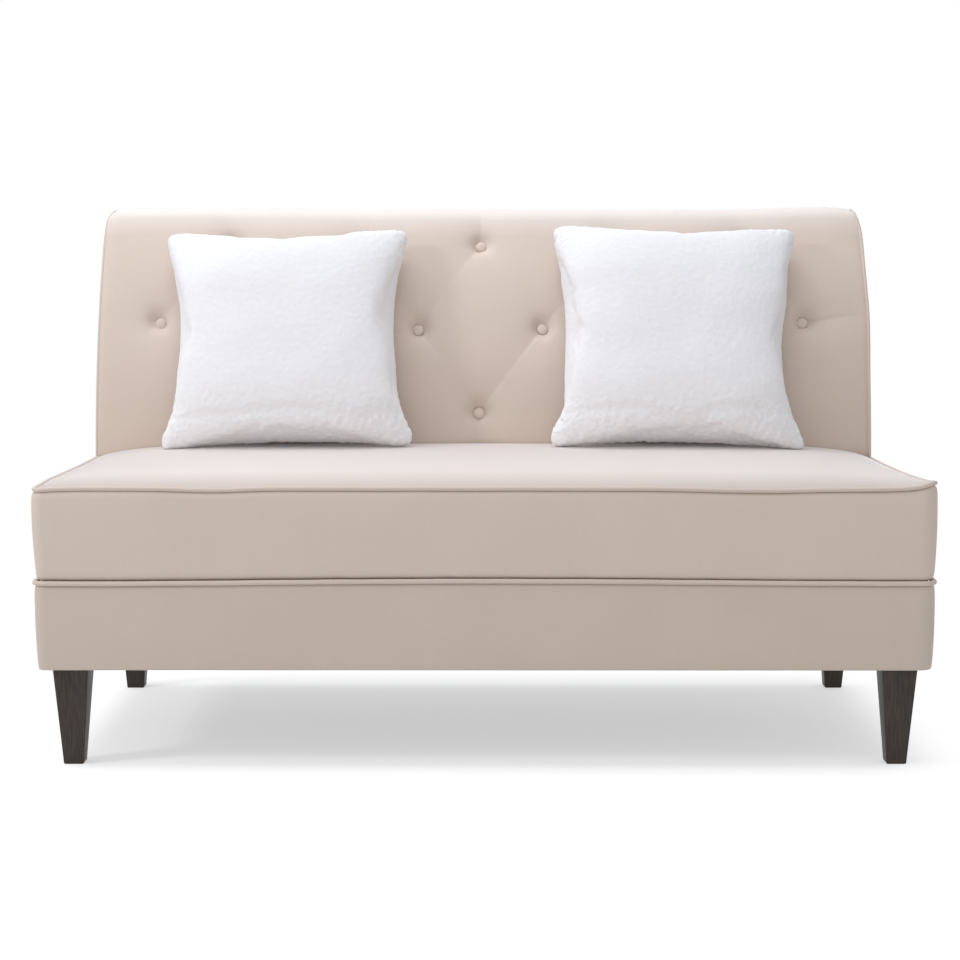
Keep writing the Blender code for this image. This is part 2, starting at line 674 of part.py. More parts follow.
def add_legs(wood, steel):
    """Four square tapered legs, each with its hanger bolt, and the cutter for the bolt holes."""
    legs = []
    cutter_mesh = bpy.data.meshes.new("bolt_hole_cutter")
    cutter_shape = bmesh.new()
    bolt_low, bolt_high = LEG_HEIGHT - BOLT_IN_LEG, FRAME_Z + BOLT_IN_BLOCK
    for name, x, y in leg_places():
        rings = []
        for side_length, z in ((LEG_BOTTOM_SIDE, 0), (LEG_TOP_SIDE, LEG_HEIGHT)):
            half = side_length / 2
            rings.append([(x + i * half, y + j * half, z) for i, j in ((-1, -1), (1, -1), (1, 1), (-1, 1))])
        leg = add_block(f"{name}_leg", *rings, wood)
        bevel = leg.modifiers.new("eased_edges", "BEVEL")
        bevel.width = LEG_EDGE_BEVEL
        bevel.segments = 1
        legs.append(leg)
        bolt_mesh = bpy.data.meshes.new(f"{name}_leg_bolt")
        bolt_shape = bmesh.new()
        add_cylinder(bolt_shape, x, y, bolt_low, bolt_high, BOLT_RADIUS)
        bolt_shape.to_mesh(bolt_mesh)
        bolt_shape.free()
        add_object(f"{name}_leg_bolt", bolt_mesh, steel, math.radians(40))
        hole_radius = BOLT_RADIUS + BOLT_HOLE_CLEARANCE
        add_cylinder(cutter_shape, x, y, bolt_low - CLEARANCE, bolt_high + CLEARANCE, hole_radius)
    cutter_shape.to_mesh(cutter_mesh)
    cutter_shape.free()
    cutter = bpy.data.objects.new("bolt_hole_cutter", cutter_mesh)
    bpy.context.scene.collection.objects.link(cutter)
    cutter.hide_render = True
    cutter.display_type = "WIRE"
    return legs, cutter


def add_cylinder(shape, x, y, low_z, high_z, radius):
    """An upright cylinder added to a bmesh."""
    place = Matrix.Translation((x, y, (low_z + high_z) / 2))
    bmesh.ops.create_cone(
        shape,
        cap_ends=True,
        segments=ROUND_SIDES,
        radius1=radius,
        radius2=radius,
        depth=high_z - low_z,
        matrix=place,
    )


def spring_places():
    """Y of the front and rear end bars, and X of each spring."""
    front = depth_to_y(BEHIND_COVER + SPRING_END_SETBACK)
    rear = depth_to_y(SEAT_DEPTH + CROSS_RAIL_SETBACK + RAIL_THICKNESS - SPRING_END_SETBACK)
    across = [(i - (SPRING_COUNT - 1) / 2) * SPRING_PITCH for i in range(SPRING_COUNT)]
    return front, rear, across


def add_springs(steel):
    """Zigzag seat springs, arched from the front rail to the cross rail under the foam."""
    front, rear, across = spring_places()
    pitch = (rear - front) / (SPRING_BARS - 1)
    bend = pitch / 2
    straight = SPRING_HALF_WIDTH - bend
    end_z = RAIL_TOP_Z + CLEARANCE + STRIP_THICKNESS + CLEARANCE + SPRING_WIRE_RADIUS
    top_z = FOAM_BOTTOM_Z - CLEARANCE - SPRING_WIRE_RADIUS
    flat = []
    for bar in range(SPRING_BARS):
        side = 1 if bar % 2 == 0 else -1
        y = front + bar * pitch
        flat += [(-side * straight, y), (side * straight, y)]
        if bar < SPRING_BARS - 1:
            for turn in (math.radians(60), math.radians(120)):
                flat.append((side * (straight + bend * math.sin(turn)), y + bend - bend * math.cos(turn)))
    middle, half_span = (front + rear) / 2, (rear - front) / 2
    for i, spring_x in enumerate(across):
        points = []
        for x, y in flat:
            rise = (top_z - end_z) * (1 - ((y - middle) / half_span) ** 2)
            points.append((spring_x + x, y, end_z + rise))
        add_tube(f"seat_spring_{i + 1}", points, SPRING_WIRE_RADIUS, 0, steel)


def add_spring_strips(steel):
    """Two steel strips with a hook over each spring's end bar, on the front rail and on the cross rail."""
    front, rear, across = spring_places()
    base_z = RAIL_TOP_Z + CLEARANCE
    bar_z = base_z + STRIP_THICKNESS + CLEARANCE + SPRING_WIRE_RADIUS
    lip_z = bar_z + SPRING_WIRE_RADIUS + CLEARANCE
    half_length = BETWEEN_SIDE_RAILS - STRIP_END_MARGIN
    front_edge = depth_to_y(BEHIND_COVER) + STRIP_MARGIN
    rear_edge = depth_to_y(SEAT_DEPTH + CROSS_RAIL_SETBACK + RAIL_THICKNESS) - STRIP_MARGIN
    for name, bar_y, edge, inwards in (("front", front, front_edge, 1), ("rear", rear, rear_edge, -1)):
        ends = sorted((edge, edge + inwards * STRIP_DEPTH))
        low = (-half_length, ends[0], base_z)
        strip = add_box(f"{name}_spring_strip", low, (half_length, ends[1], base_z + STRIP_THICKNESS), steel)
        hook_y = bar_y + inwards * (SPRING_WIRE_RADIUS + CLEARANCE)
        outline = [
            (hook_y, base_z + STRIP_THICKNESS / 2),
            (hook_y, lip_z),
            (hook_y - inwards * HOOK_LIP, lip_z),
            (hook_y - inwards * HOOK_LIP, lip_z + STRIP_THICKNESS),
            (hook_y + inwards * STRIP_THICKNESS, lip_z + STRIP_THICKNESS),
            (hook_y + inwards * STRIP_THICKNESS, base_z + STRIP_THICKNESS / 2),
        ]
        for i, x in enumerate(across):
            hook = add_prism(f"{name}_hook_{i + 1}", outline, x - HOOK_WIDTH / 2, x + HOOK_WIDTH / 2, steel)
            hook.hide_render = True
            hook.display_type = "WIRE"
            join = strip.modifiers.new("hook", "BOOLEAN")
            join.object = hook
            join.operation = "UNION"


def add_seat_padding(foam, cloth):
    """The seat's foam block inside its boxing, the boxing, the base band and both welts."""
    rings = []
    for z in (FOAM_BOTTOM_Z, FOAM_TOP_Z):
        line = seat_outline(BEHIND_COVER, seat_rear_depth(z))
        rings.append([(x, y, z) for x, y in line])
    add_block("seat_foam", *rings, foam)
    boxing_low = LOWER_WELT_Z + WELT_RADIUS + CLEARANCE
    boxing_high = UPPER_WELT_Z - WELT_RADIUS - CLEARANCE
    add_band("seat_boxing", boxing_low, boxing_high, seat_rear_depth, cloth)
    base_high = LOWER_WELT_Z - WELT_RADIUS - CLEARANCE
    add_band("base_band", DUST_COVER_Z, base_high, lambda height: BASE_DEPTH, cloth)
    add_seat_welt("upper_seat_welt", UPPER_WELT_Z, 0, seat_rear_depth(UPPER_WELT_Z), cloth)
    add_seat_welt("lower_seat_welt", LOWER_WELT_Z, LOWER_WELT_SINK, BASE_DEPTH, cloth)
    add_seat_top(cloth)


def pillow_surface(u, v, front):
    """A point of a pillow, lying flat: u and v from -1 to 1 across and up, bulged to one face."""
    half_width, half_height = PILLOW_WIDTH / 2, PILLOW_HEIGHT / 2
    pull_x = PILLOW_DRAWN_IN * (1 - v * v)
    pull_top = PILLOW_DRAWN_IN / 2 * (1 - u * u) * max(0, v)
    corner = PILLOW_CORNER_RADIUS * (1 - math.sqrt(0.5)) * (abs(u * v)) ** 12
    x = u * (half_width - pull_x - corner)
    up = half_height + v * (half_height - corner) - pull_top
    swell = ((1 - u * u) * (1 - v * v)) ** PILLOW_BULGE_POWER
    out = PILLOW_FRONT_BULGE * swell if front else -PILLOW_BACK_BULGE * swell
    return x, up, out


def split_square(corners, from_first):
    """Two triangles of a square, split from its first corner or from its second."""
    a, b, c, d = corners if from_first else (*corners[1:], corners[0])
    return [(a, b, c), (a, c, d)]


def pillow_stand():
    """Depth and height of a pillow's bottom seam, where the pillow just clears the back and the seat."""
    steps = spread(-1, 1, 2 * PILLOW_CELLS)
    seat_z = 0
    for u in steps:
        out_from_middle = u * PILLOW_WIDTH / 2
        drop = out_from_middle * math.sin(PILLOW_TILT)
        seat_z = max(seat_z, crown_height(PILLOW_CENTRE + out_from_middle, SEAT_DEPTH) + drop)
    seat_z += SEATING_GAP
    depth = SEAT_DEPTH
    for u in steps:
        for v in steps:
            x, up, out = pillow_surface(u, v, False)
            height = seat_z + up * math.cos(PILLOW_LEAN) + out * math.sin(PILLOW_LEAN)
            distance = front_arc_distance(height)
            face, _, heading = back_station(distance)
            face += tuft_inset(PILLOW_CENTRE + x, distance, BESIDE_BACK_WELT) * math.cos(heading)
            reach = up * math.sin(PILLOW_LEAN) - out * math.cos(PILLOW_LEAN)
            depth = min(depth, face - reach)
    return depth - SEATING_GAP, seat_z


def add_pillows(plush):
    """Two loose square pillows that stand on the seat and lean on the back."""
    steps = spread(-1, 1, PILLOW_CELLS)
    width = PILLOW_CELLS + 1
    points = [pillow_surface(u, v, True) for v in steps for u in steps]
    behind = list(range(len(points)))
    for row, v in enumerate(steps[1:-1], 1):
        for column, u in enumerate(steps[1:-1], 1):
            behind[row * width + column] = len(points)
            points.append(pillow_surface(u, v, False))
    faces = []
    for row in range(PILLOW_CELLS):
        for column in range(PILLOW_CELLS):
            start = row * width + column
            square = (start, start + width, start + width + 1, start + 1)
            from_first = (row < PILLOW_CELLS / 2) == (column < PILLOW_CELLS / 2)
            faces += split_square(square, from_first)
            faces += split_square([behind[corner] for corner in square], from_first)
    stood = [(x, -out, up) for x, up, out in points]
    depth, seat_z = pillow_stand()
    for side, sign in SIDES.items():
        pillow = add_solid(f"{side}_pillow", stood, faces, plush, math.radians(60))
        pillow.location = (sign * PILLOW_CENTRE, depth_to_y(depth), seat_z)
        pillow.rotation_euler = (-PILLOW_LEAN, sign * PILLOW_TILT, 0)


def main():
    for old in list(bpy.data.objects):
        bpy.data.objects.remove(old)
    cloth = make_material("beige_upholstery_cloth", (0.62, 0.53, 0.47), 0.9)
    plush = make_material("white_plush", (0.86, 0.86, 0.89), 0.95)
    foam = make_material("seat_foam", (0.85, 0.80, 0.55), 0.9)
    hessian = make_material("hessian", (0.45, 0.34, 0.20), 0.95)
    cambric = make_material("black_cambric", (0.02, 0.02, 0.02), 0.9)
    frame_wood = make_material("frame_wood", (0.60, 0.43, 0.26), 0.7)
    leg_wood = make_material("dark_stained_wood", (0.045, 0.036, 0.030), 0.45)
    steel = make_material("spring_steel", (0.55, 0.55, 0.56), 0.35, 1)

    blocks = add_seat_frame(frame_wood)
    legs, cutter = add_legs(leg_wood, steel)
    dust_cover_top = DUST_COVER_Z + DUST_COVER_THICKNESS
    plan = base_plan(BASE_DEPTH - BEHIND_COVER)
    dust_cover = add_plate("dust_cover", plan, DUST_COVER_Z, dust_cover_top, cambric)
    for piece in (*blocks, *legs, dust_cover):
        cut(piece, cutter)
    add_springs(steel)
    add_spring_strips(steel)
    add_seat_padding(foam, cloth)
    add_back_frame(frame_wood, hessian)
    add_back_foam(foam)
    add_tufted_cover(cloth)
    add_back_covers(cloth)
    add_buttons(cloth)
    add_pillows(plush)


main()
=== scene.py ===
import math

import bpy
import numpy as np
from mathutils import Euler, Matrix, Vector, noise


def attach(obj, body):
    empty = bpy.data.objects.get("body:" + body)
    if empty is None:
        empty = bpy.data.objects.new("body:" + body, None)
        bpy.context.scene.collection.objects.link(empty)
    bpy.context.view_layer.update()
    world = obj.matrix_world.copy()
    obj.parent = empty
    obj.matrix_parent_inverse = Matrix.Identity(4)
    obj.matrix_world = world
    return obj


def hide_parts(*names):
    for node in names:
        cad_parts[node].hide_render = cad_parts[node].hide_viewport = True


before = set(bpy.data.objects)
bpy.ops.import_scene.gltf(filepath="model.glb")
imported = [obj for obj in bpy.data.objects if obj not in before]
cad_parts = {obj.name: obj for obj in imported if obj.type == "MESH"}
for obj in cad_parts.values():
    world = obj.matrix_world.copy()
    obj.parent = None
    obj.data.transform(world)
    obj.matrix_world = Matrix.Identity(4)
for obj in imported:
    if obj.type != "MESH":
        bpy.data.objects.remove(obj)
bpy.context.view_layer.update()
print("frame loaded with", len(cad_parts), "nodes")

# Sizes that several pieces share, in metres, as the CAD has them; a pair is for the left and the right
body = {
    "halfWidth": 0.671,
    "besideWelt": 0.6647,
    "seatDepth": 0.5275,
    "baseDepth": 0.668,
    "middleDepth": 0.378733,
    "legTop": 0.151,
    "lowerWeltZ": 0.2885,
    "upperWeltZ": 0.4254,
    "crownZ": 0.448,
    "cornerRadii": (0.0132, 0.022),
    "standsProud": 0.0034,
    "topZ": 0.859,
}


# Small tools: numbers, meshes and node trees

def smoothStep(low, high, value):
    t = np.clip((np.asarray(value, float) - low) / (high - low), 0, 1)
    return t * t * (3 - 2 * t)


def softNoise(points, size, seed=0.0):
    # one smooth value from about -1 to 1 for each point; size is the width of a patch in metres
    shift = Vector((seed * 7.31, seed * 3.17, seed * 5.73))
    return np.array([noise.noise(Vector(p) / size + shift) for p in np.asarray(points, float)])


def ripple(u, v, wave):
    # the same over a flat pattern, for two arrays of one shape; wave is its height, patch width and seed
    height, size, seed = wave
    flat = np.stack([u.ravel(), v.ravel(), 0 * u.ravel()], -1)
    return height * softNoise(flat, size, seed).reshape(u.shape)


def bySide(x, pair):
    # the first of two values left of the middle, the second right of it
    return np.where(np.asarray(x) < 0, *pair)


def leftToRight(x, pair):
    # the same, with a gradual change along the front
    side = smoothStep(-0.5, 0.5, x)
    return pair[0] * (1 - side) + pair[1] * side


def toY(depth):
    return depth - body["middleDepth"]


def runLength(line):
    return np.concatenate([[0], np.cumsum(np.linalg.norm(np.diff(line, axis=0), axis=1))])


def gridFaces(index):
    quads = np.stack([index[:-1, :-1], index[:-1, 1:], index[1:, 1:], index[1:, :-1]], -1)
    return quads.reshape(-1, 4).tolist()


def ringFaces(rings, sides, capped=True):
    # the wall of a stack of rings, with a flat cap at each end if asked
    faces = []
    for i in range(rings - 1):
        for j in range(sides):
            k = (j + 1) % sides
            faces.append([i * sides + j, i * sides + k, (i + 1) * sides + k, (i + 1) * sides + j])
    if capped:
        last = (rings - 1) * sides
        faces += [list(range(sides))[::-1], list(range(last, last + sides))]
    return faces


def addMesh(name, points, faces, finish, threads=None, sharpDegrees=60):
    points = np.asarray(points, float)
    mesh = bpy.data.meshes.new(name)
    mesh.from_pydata(points.tolist(), [], faces)
    mesh.update()
    mesh.calc_loop_triangles()
    corners = np.array([t.vertices[:] for t in mesh.loop_triangles])
    a, b, c = (points[corners[:, i]] for i in range(3))
    if np.einsum("ij,ij->i", a, np.cross(b, c)).sum() < 0:
        mesh.flip_normals()
    if threads is not None:
        # where the weave runs: metres along the weft and the warp of the flat cloth
        along = mesh.attributes.new("threads", "FLOAT_VECTOR", "POINT")
        flat = np.zeros((len(points), 3), np.float32)
        flat[:, :2] = np.asarray(threads, float).reshape(-1, 2)
        along.data.foreach_set("vector", flat.ravel())
    mesh.shade_smooth()
    mesh.set_sharp_from_angle(angle=math.radians(sharpDegrees))
    mesh.materials.append(finish)
    piece = bpy.data.objects.new(name, mesh)
    bpy.context.scene.collection.objects.link(piece)
    return piece


def addSlab(name, outer, inner, finish, threads=None, sharpDegrees=60):
    # a closed sheet between two grids of points with the same rows and columns
    rows, cols = outer.shape[:2]
    count = rows * cols
    index = np.arange(count).reshape(rows, cols)
    faces = gridFaces(index) + [f[::-1] for f in gridFaces(index + count)]
    rim = [*index[0], *index[1:, -1], *index[-1, -2::-1], *index[-2:0:-1, 0]]
    for here, after in zip(rim, rim[1:] + rim[:1]):
        faces.append([int(after), int(here), int(here) + count, int(after) + count])
    points = np.concatenate([outer.reshape(-1, 3), inner.reshape(-1, 3)])
    if threads is not None:
        threads = np.concatenate([threads.reshape(-1, 2)] * 2)
    return addMesh(name, points, faces, finish, threads, sharpDegrees)


def addTube(name, path, radius, finish):
    # round piping along a path, with its ends closed
    sides = 14
    run = runLength(path)
    tangent = np.gradient(path, axis=0)
    tangent /= np.linalg.norm(tangent, axis=1)[:, None]
    side = np.cross(tangent[0], (0.31, 0.27, 0.91))
    points, threads = [], []
    for i, here in enumerate(path):
        side = side - tangent[i] * side.dot(tangent[i])
        side /= np.linalg.norm(side)
        up = np.cross(tangent[i], side)
        for turn in np.linspace(0, 2 * math.pi, sides, endpoint=False):
            points.append(here + radius * (math.cos(turn) * side + math.sin(turn) * up))
            # bias-cut strip: its threads cross the cord at 45 degrees
            across = radius * turn
            threads.append(((run[i] + across) * math.sqrt(0.5), (run[i] - across) * math.sqrt(0.5)))
    return addMesh(name, points, ringFaces(len(path), sides), finish, threads, 50)


def place(piece, stands, rides="sofa"):
    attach(piece, rides)
    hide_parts(stands)


def hexToLinear(code):
    parts = [int(code[i : i + 2], 16) / 255 for i in (1, 3, 5)]
    linear = [p / 12.92 if p <= 0.04045 else ((p + 0.055) / 1.055) ** 2.4 for p in parts]
    return (*linear, 1.0)


def newMaterial(name):
    material = bpy.data.materials.new(name)
    material.use_nodes = True
    material.node_tree.nodes.clear()
    return material


def addNode(material, kind, inputs=None, out=0, **settings):
    # one node with its settings and links, given back as one of its outputs
    tree = material.node_tree
    node = tree.nodes.new("ShaderNode" + kind)
    for key, value in settings.items():
        setattr(node, key, value)
    for key, value in (inputs or {}).items():
        if isinstance(value, bpy.types.NodeSocket):
            tree.links.new(value, node.inputs[key])
        else:
            node.inputs[key].default_value = hexToLinear(value) if isinstance(value, str) else value
    return node.outputs[out] if len(node.outputs) else None


def mixColours(material, share, first, second):
    # share is a number or an output, colours are hex codes or outputs
    return addNode(material, "Mix", {0: share, 6: first, 7: second}, 2, data_type="RGBA")


def calculate(material, operation, *values):
    return addNode(material, "Math", dict(enumerate(values)), operation=operation)


def mapRange(material, value, given, wanted=(0.0, 1.0), **settings):
    inputs = {
        "Value": value, "From Min": given[0], "From Max": given[1], "To Min": wanted[0], "To Max": wanted[1],
    }
    return addNode(material, "MapRange", inputs, **settings)


def objectPlace(material):
    return addNode(material, "TexCoord", out="Object")


def threadPlace(material):
    return addNode(material, "Attribute", out="Vector", attribute_name="threads")


def noiseScale(millimetres):
    # texture scale for a patch or cell of this width
    return 1000 / millimetres


def patches(material, where, millimetres, detail=2.0, distortion=0.0):
    # soft noise; three sizes in place of one stretch it along the axes
    if isinstance(millimetres, tuple):
        stretch = [noiseScale(size) for size in millimetres]
        where = addNode(material, "Mapping", {"Vector": where, "Scale": stretch})
        millimetres = 1000
    inputs = {"Vector": where, "Scale": noiseScale(millimetres), "Detail": detail, "Distortion": distortion}
    return addNode(material, "TexNoise", inputs)


def crossedThreads(material, where, millimetres, operation, inputs):
    # threads repeat once for each wavelength of a wave texture, whose scale is 2 pi / 20 over that length
    inputs = {"Vector": where, "Scale": 2 * math.pi / 20 / (millimetres / 1000), **inputs}
    waves = [addNode(material, "TexWave", inputs, "Fac", bands_direction=way) for way in "XY"]
    return calculate(material, operation, *waves)


def rubbed(material, colour, worn, given, share):
    # outward folds and edges are rubbed to another colour
    pointed = addNode(material, "NewGeometry", out="Pointiness")
    return mixColours(material, mapRange(material, pointed, given, (0.0, share)), colour, worn)


def finishMaterial(material, colour, roughness, height=None, relief=(), inputs=None):
    # relief is the strength of the bump and its height in mm
    inputs = {"Base Color": colour, "Roughness": roughness, **(inputs or {})}
    if height:
        bump = {"Height": height, "Strength": relief[0], "Distance": relief[1] / 1000}
        inputs["Normal"] = addNode(material, "Bump", bump)
    addNode(material, "OutputMaterial", {"Surface": addNode(material, "BsdfPrincipled", inputs)})
    return material


# Cloth: its painted light fades are stretches along it, each laying a painted highlight or painted shade over its
# colour, with start and end in mm, shares there and a colour
clothLook = {
    "colour": "#d6c7bc",
    "slubColour": "#cdbcb0",
    "wornColour": "#dfd2c9",
    "fades": (),
    "threadMm": 0.9,
    "slubMm": (3.5, 70),
    "slubShare": 0.2,
    "cloudMm": 110,
    "cloudShare": 0.25,
    "wornShare": 0.5,
    "roughness": 0.66,
    "sheen": 1.0,
    "sheenRoughness": 0.2,
    "sheenTint": "#fbfaff",
    "relief": (0.55, 0.06),
}


def makeCloth(name, **changes):
    # Matte polyester plain weave, piece-dyed: an even, soft surface with faint slubs and a pale bloom
    # at grazing angles. The real threads lie 0.45 mm apart; they are drawn twice as coarse so that they show.
    look = {**clothLook, **changes}
    material = newMaterial(name)
    threads = threadPlace(material)
    weave = crossedThreads(material, threads, look["threadMm"], "MULTIPLY", {"Distortion": 0.6})
    wide, long = look["slubMm"]
    slubs = [patches(material, threads, (*size, 1000)) for size in ((wide, long), (long, wide))]
    slub = calculate(material, "MULTIPLY", *slubs)
    streak = mapRange(material, slub, (0.12, 0.42), (0.0, look["slubShare"]))
    cloud = patches(material, objectPlace(material), look["cloudMm"], 3.0)
    cloudy = mapRange(material, cloud, (0.35, 0.65), (0.0, look["cloudShare"]))
    colour = mixColours(material, streak, look["colour"], look["slubColour"])
    colour = mixColours(material, cloudy, colour, look["slubColour"])
    colour = rubbed(material, colour, look["wornColour"], (0.52, 0.62), look["wornShare"])
    # painted light: each stretch lays a painted highlight or painted shade over the colour
    for start, end, first, last, faded in look["fades"]:
        along = addNode(material, "SeparateXYZ", {0: threads}, "Y")
        fade = mapRange(material, along, (start / 1000, end / 1000), (first, last))
        colour = mixColours(material, fade, colour, faded)
    height = calculate(material, "ADD", weave, slub)
    return finishMaterial(material, colour, look["roughness"], height, look["relief"], {
        "IOR": 1.5,
        "Sheen Weight": look["sheen"],
        "Sheen Roughness": look["sheenRoughness"],
        "Sheen Tint": look["sheenTint"],
    })


plushLook = {
    "colour": "#eeeef2",
    "rootShadeColour": "#dfdde2",
    "rootShadeShare": 0.3,
    "tuftMm": 6.0,
    "fibreMm": 1.4,
    "roughness": 0.95,
    "sheen": 0.18,
    "sheenRoughness": 0.6,
    "relief": (0.6, 0.7),
}


def makePlush(name, look):
    # White short-pile polyester plush, knitted and sheared: the pile lies in small tufts, with painted shade
    # between them at the roots, and a soft bloom at the edges. Fibres are 0.02 mm thick; bundles of them are drawn.
    material = newMaterial(name)
    where = objectPlace(material)
    tufts = patches(material, where, look["tuftMm"], 2.0, 0.4)
    pile = calculate(material, "MULTIPLY_ADD", tufts, 0.6, patches(material, where, look["fibreMm"]))
    # painted shade at the roots, between the tufts
    rootShade = mapRange(material, pile, (0.62, 0.86), (look["rootShadeShare"], 0.0))
    colour = mixColours(material, rootShade, look["colour"], look["rootShadeColour"])
    return finishMaterial(material, colour, look["roughness"], pile, look["relief"], {
        "IOR": 1.45,
        "Specular IOR Level": 0.2,
        "Sheen Weight": look["sheen"],
        "Sheen Roughness": look["sheenRoughness"],
    })


legLook = {
    "colour": "#3f362f",
    "grainColour": "#2b241f",
    "wornColour": "#4c4036",
    "wornShare": 0.6,
    "grainMm": (2.2, 2.2, 90),
    "roughness": (0.44, 0.58),
    "lacquer": 0.12,
    "lacquerRoughness": 0.3,
    "relief": (0.35, 0.08),
}


def makeStainedWood(name, look):
    # Rubberwood, planed, dark stained and sprayed with satin lacquer: straight fine grain up the leg,
    # a soft gloss, and a little stain rubbed off the edges.
    material = newMaterial(name)
    grain = patches(material, objectPlace(material), look["grainMm"], 4.0, 0.35)
    contrast = mapRange(material, grain, (0.36, 0.66))
    colour = mixColours(material, contrast, look["colour"], look["grainColour"])
    colour = rubbed(material, colour, look["wornColour"], (0.53, 0.60), look["wornShare"])
    dull = mapRange(material, grain, (0.3, 0.7), look["roughness"])
    return finishMaterial(material, colour, dull, contrast, look["relief"], {
        "IOR": 1.45,
        "Specular IOR Level": 0.35,
        "Coat Weight": look["lacquer"],
        "Coat Roughness": look["lacquerRoughness"],
    })


pineLook = {
    "colour": "#d9b98a",
    "lateColour": "#b98a55",
    "ringMm": 20,
    "lengthMm": 260,
    "rings": 9.0,
    "fibreMm": 1.2,
    "roughness": 0.72,
    "relief": (0.5, 0.3),
}


def makePine(name, look, axis):
    # Softwood, sawn and left bare: yellow early wood, browner late wood in long bands along the board,
    # and the fine ridges of the saw.
    material = newMaterial(name)
    where = objectPlace(material)
    sizes = tuple(look["lengthMm"] if i == axis else look["ringMm"] for i in range(3))
    bands = calculate(material, "MULTIPLY", patches(material, where, sizes, 5.0, 1.2), look["rings"])
    late = calculate(material, "PINGPONG", bands, 1.0)
    colour = mixColours(material, late, look["colour"], look["lateColour"])
    fibres = patches(material, where, look["fibreMm"])
    return finishMaterial(material, colour, look["roughness"], fibres, look["relief"], {"IOR": 1.5})


hessianLook = {
    "colour": "#b1925f", "gapShadeColour": "#5e4a2c", "threadMm": 2.6, "roughness": 0.95, "relief": (0.9, 0.8),
}


def makeHessian(name, look):
    # Jute hessian, a coarse open plain weave: hairy brown threads 2.6 mm apart with painted shade in the gaps
    # between them.
    material = newMaterial(name)
    hairy = {"Distortion": 1.5, "Detail": 1.0}
    weave = crossedThreads(material, threadPlace(material), look["threadMm"], "MAXIMUM", hairy)
    # painted shade in the gaps of the weave
    colour = mixColours(material, weave, look["gapShadeColour"], look["colour"])
    return finishMaterial(material, colour, look["roughness"], weave, look["relief"])


foamLook = {"colour": "#efe6bd", "poreShadeColour": "#cdbf8a", "poreMm": 1.4, "roughness": 0.95, "relief": (0.7, 0.6)}


def makeFoam(name, look):
    # Flexible polyurethane foam, cut from a block: pale yellow, matt, with open cells about 1 mm across, darkened
    # by painted shade inside them.
    material = newMaterial(name)
    cells = addNode(material, "TexVoronoi", {"Vector": objectPlace(material), "Scale": noiseScale(look["poreMm"])})
    # painted shade in the open cells
    colour = mixColours(material, cells, look["poreShadeColour"], look["colour"])
    return finishMaterial(material, colour, look["roughness"], cells, look["relief"])


cambricLook = {"colour": "#232324", "dotColour": "#141414", "dotMm": 2.2, "roughness": 0.78, "relief": (0.6, 0.2)}


def makeCambric(name, look):
    # Black spunbonded polypropylene dust cloth, heat-bonded in small dots: dull, faintly fibrous.
    material = newMaterial(name)
    inputs = {"Vector": objectPlace(material), "Scale": noiseScale(look["dotMm"]), "Randomness": 0.1}
    edge = mapRange(material, addNode(material, "TexVoronoi", inputs), (0.2, 0.4))
    colour = mixColours(material, edge, look["dotColour"], look["colour"])
    return finishMaterial(material, colour, look["roughness"], edge, look["relief"])


def makeSteel(name, colour, darker, roughness, patchMm):
    # Drawn or zinc-plated steel: metallic, a little uneven in tone where the plating or scale varies.
    material = newMaterial(name)
    uneven = patches(material, objectPlace(material), patchMm, 3.0)
    dull = mapRange(material, uneven, (0.0, 1.0), roughness)
    colour = mixColours(material, uneven, colour, darker)
    return finishMaterial(material, colour, dull, inputs={"Metallic": 1.0})


cloth = makeCloth("beigePlainWeave")
# painted light on the back: a painted highlight makes it paler towards the top, where the roll catches the overhead
# light, and the plain colour returns over the rear of the roll; painted shade darkens it towards the bottom, above
# the seat
backClothPaintedLight = makeCloth("beigePlainWeaveBackPaintedLight", sheen=0.6, fades=(
    (545, 600, 0.0, 0.9, "#e7dfda"),
    (640, 712, 0.0, 1.0, "#d4c5ba"),
    (40, 420, 0.8, 0.0, "#cab9ab"),
))
# the base band is a darker copy of the cloth: painted shade, for the shade it lies in under the lower welt and near
# the floor
bandClothPaintedShade = makeCloth("beigePlainWeaveBandPaintedShade", colour="#cdbfb4", slubColour="#c5b5a9")
# the seat panel is a paler copy of the cloth: painted light for its top, lit from above and seen at a grazing
# angle; painted shade darkens it towards the front edge, where it turns down
seatClothPaintedLight = makeCloth(
    "beigePlainWeaveSeatPaintedLight", colour="#e1d7d0", slubColour="#dacec7", fades=((0, 110, 0.9, 0.0, "#bbaea6"),),
)
# the piping is a darker copy of the cloth: painted shade, for the shade it lies in along the seams
pipingClothPaintedShade = makeCloth("beigePipingBiasCutPaintedShade", colour="#d0c1b7", slubColour="#c5b4a8")
plush = makePlush("whiteShortPilePlush", plushLook)
legWood = makeStainedWood("darkStainedRubberwood", legLook)
pineAlong = [makePine("sawnPineAlong" + letter, pineLook, axis) for axis, letter in enumerate("XYZ")]
hessian = makeHessian("juteHessian", hessianLook)
foam = makeFoam("upholsteryFoam", foamLook)
cambric = makeCambric("blackDustCloth", cambricLook)
springSteel = makeSteel("drawnSpringSteel", "#8d8c89", "#6a6864", (0.30, 0.48), 14)
boltSteel = makeSteel("zincPlatedSteel", "#c3c6c9", "#9da2a6", (0.24, 0.42), 6)
print("materials made")


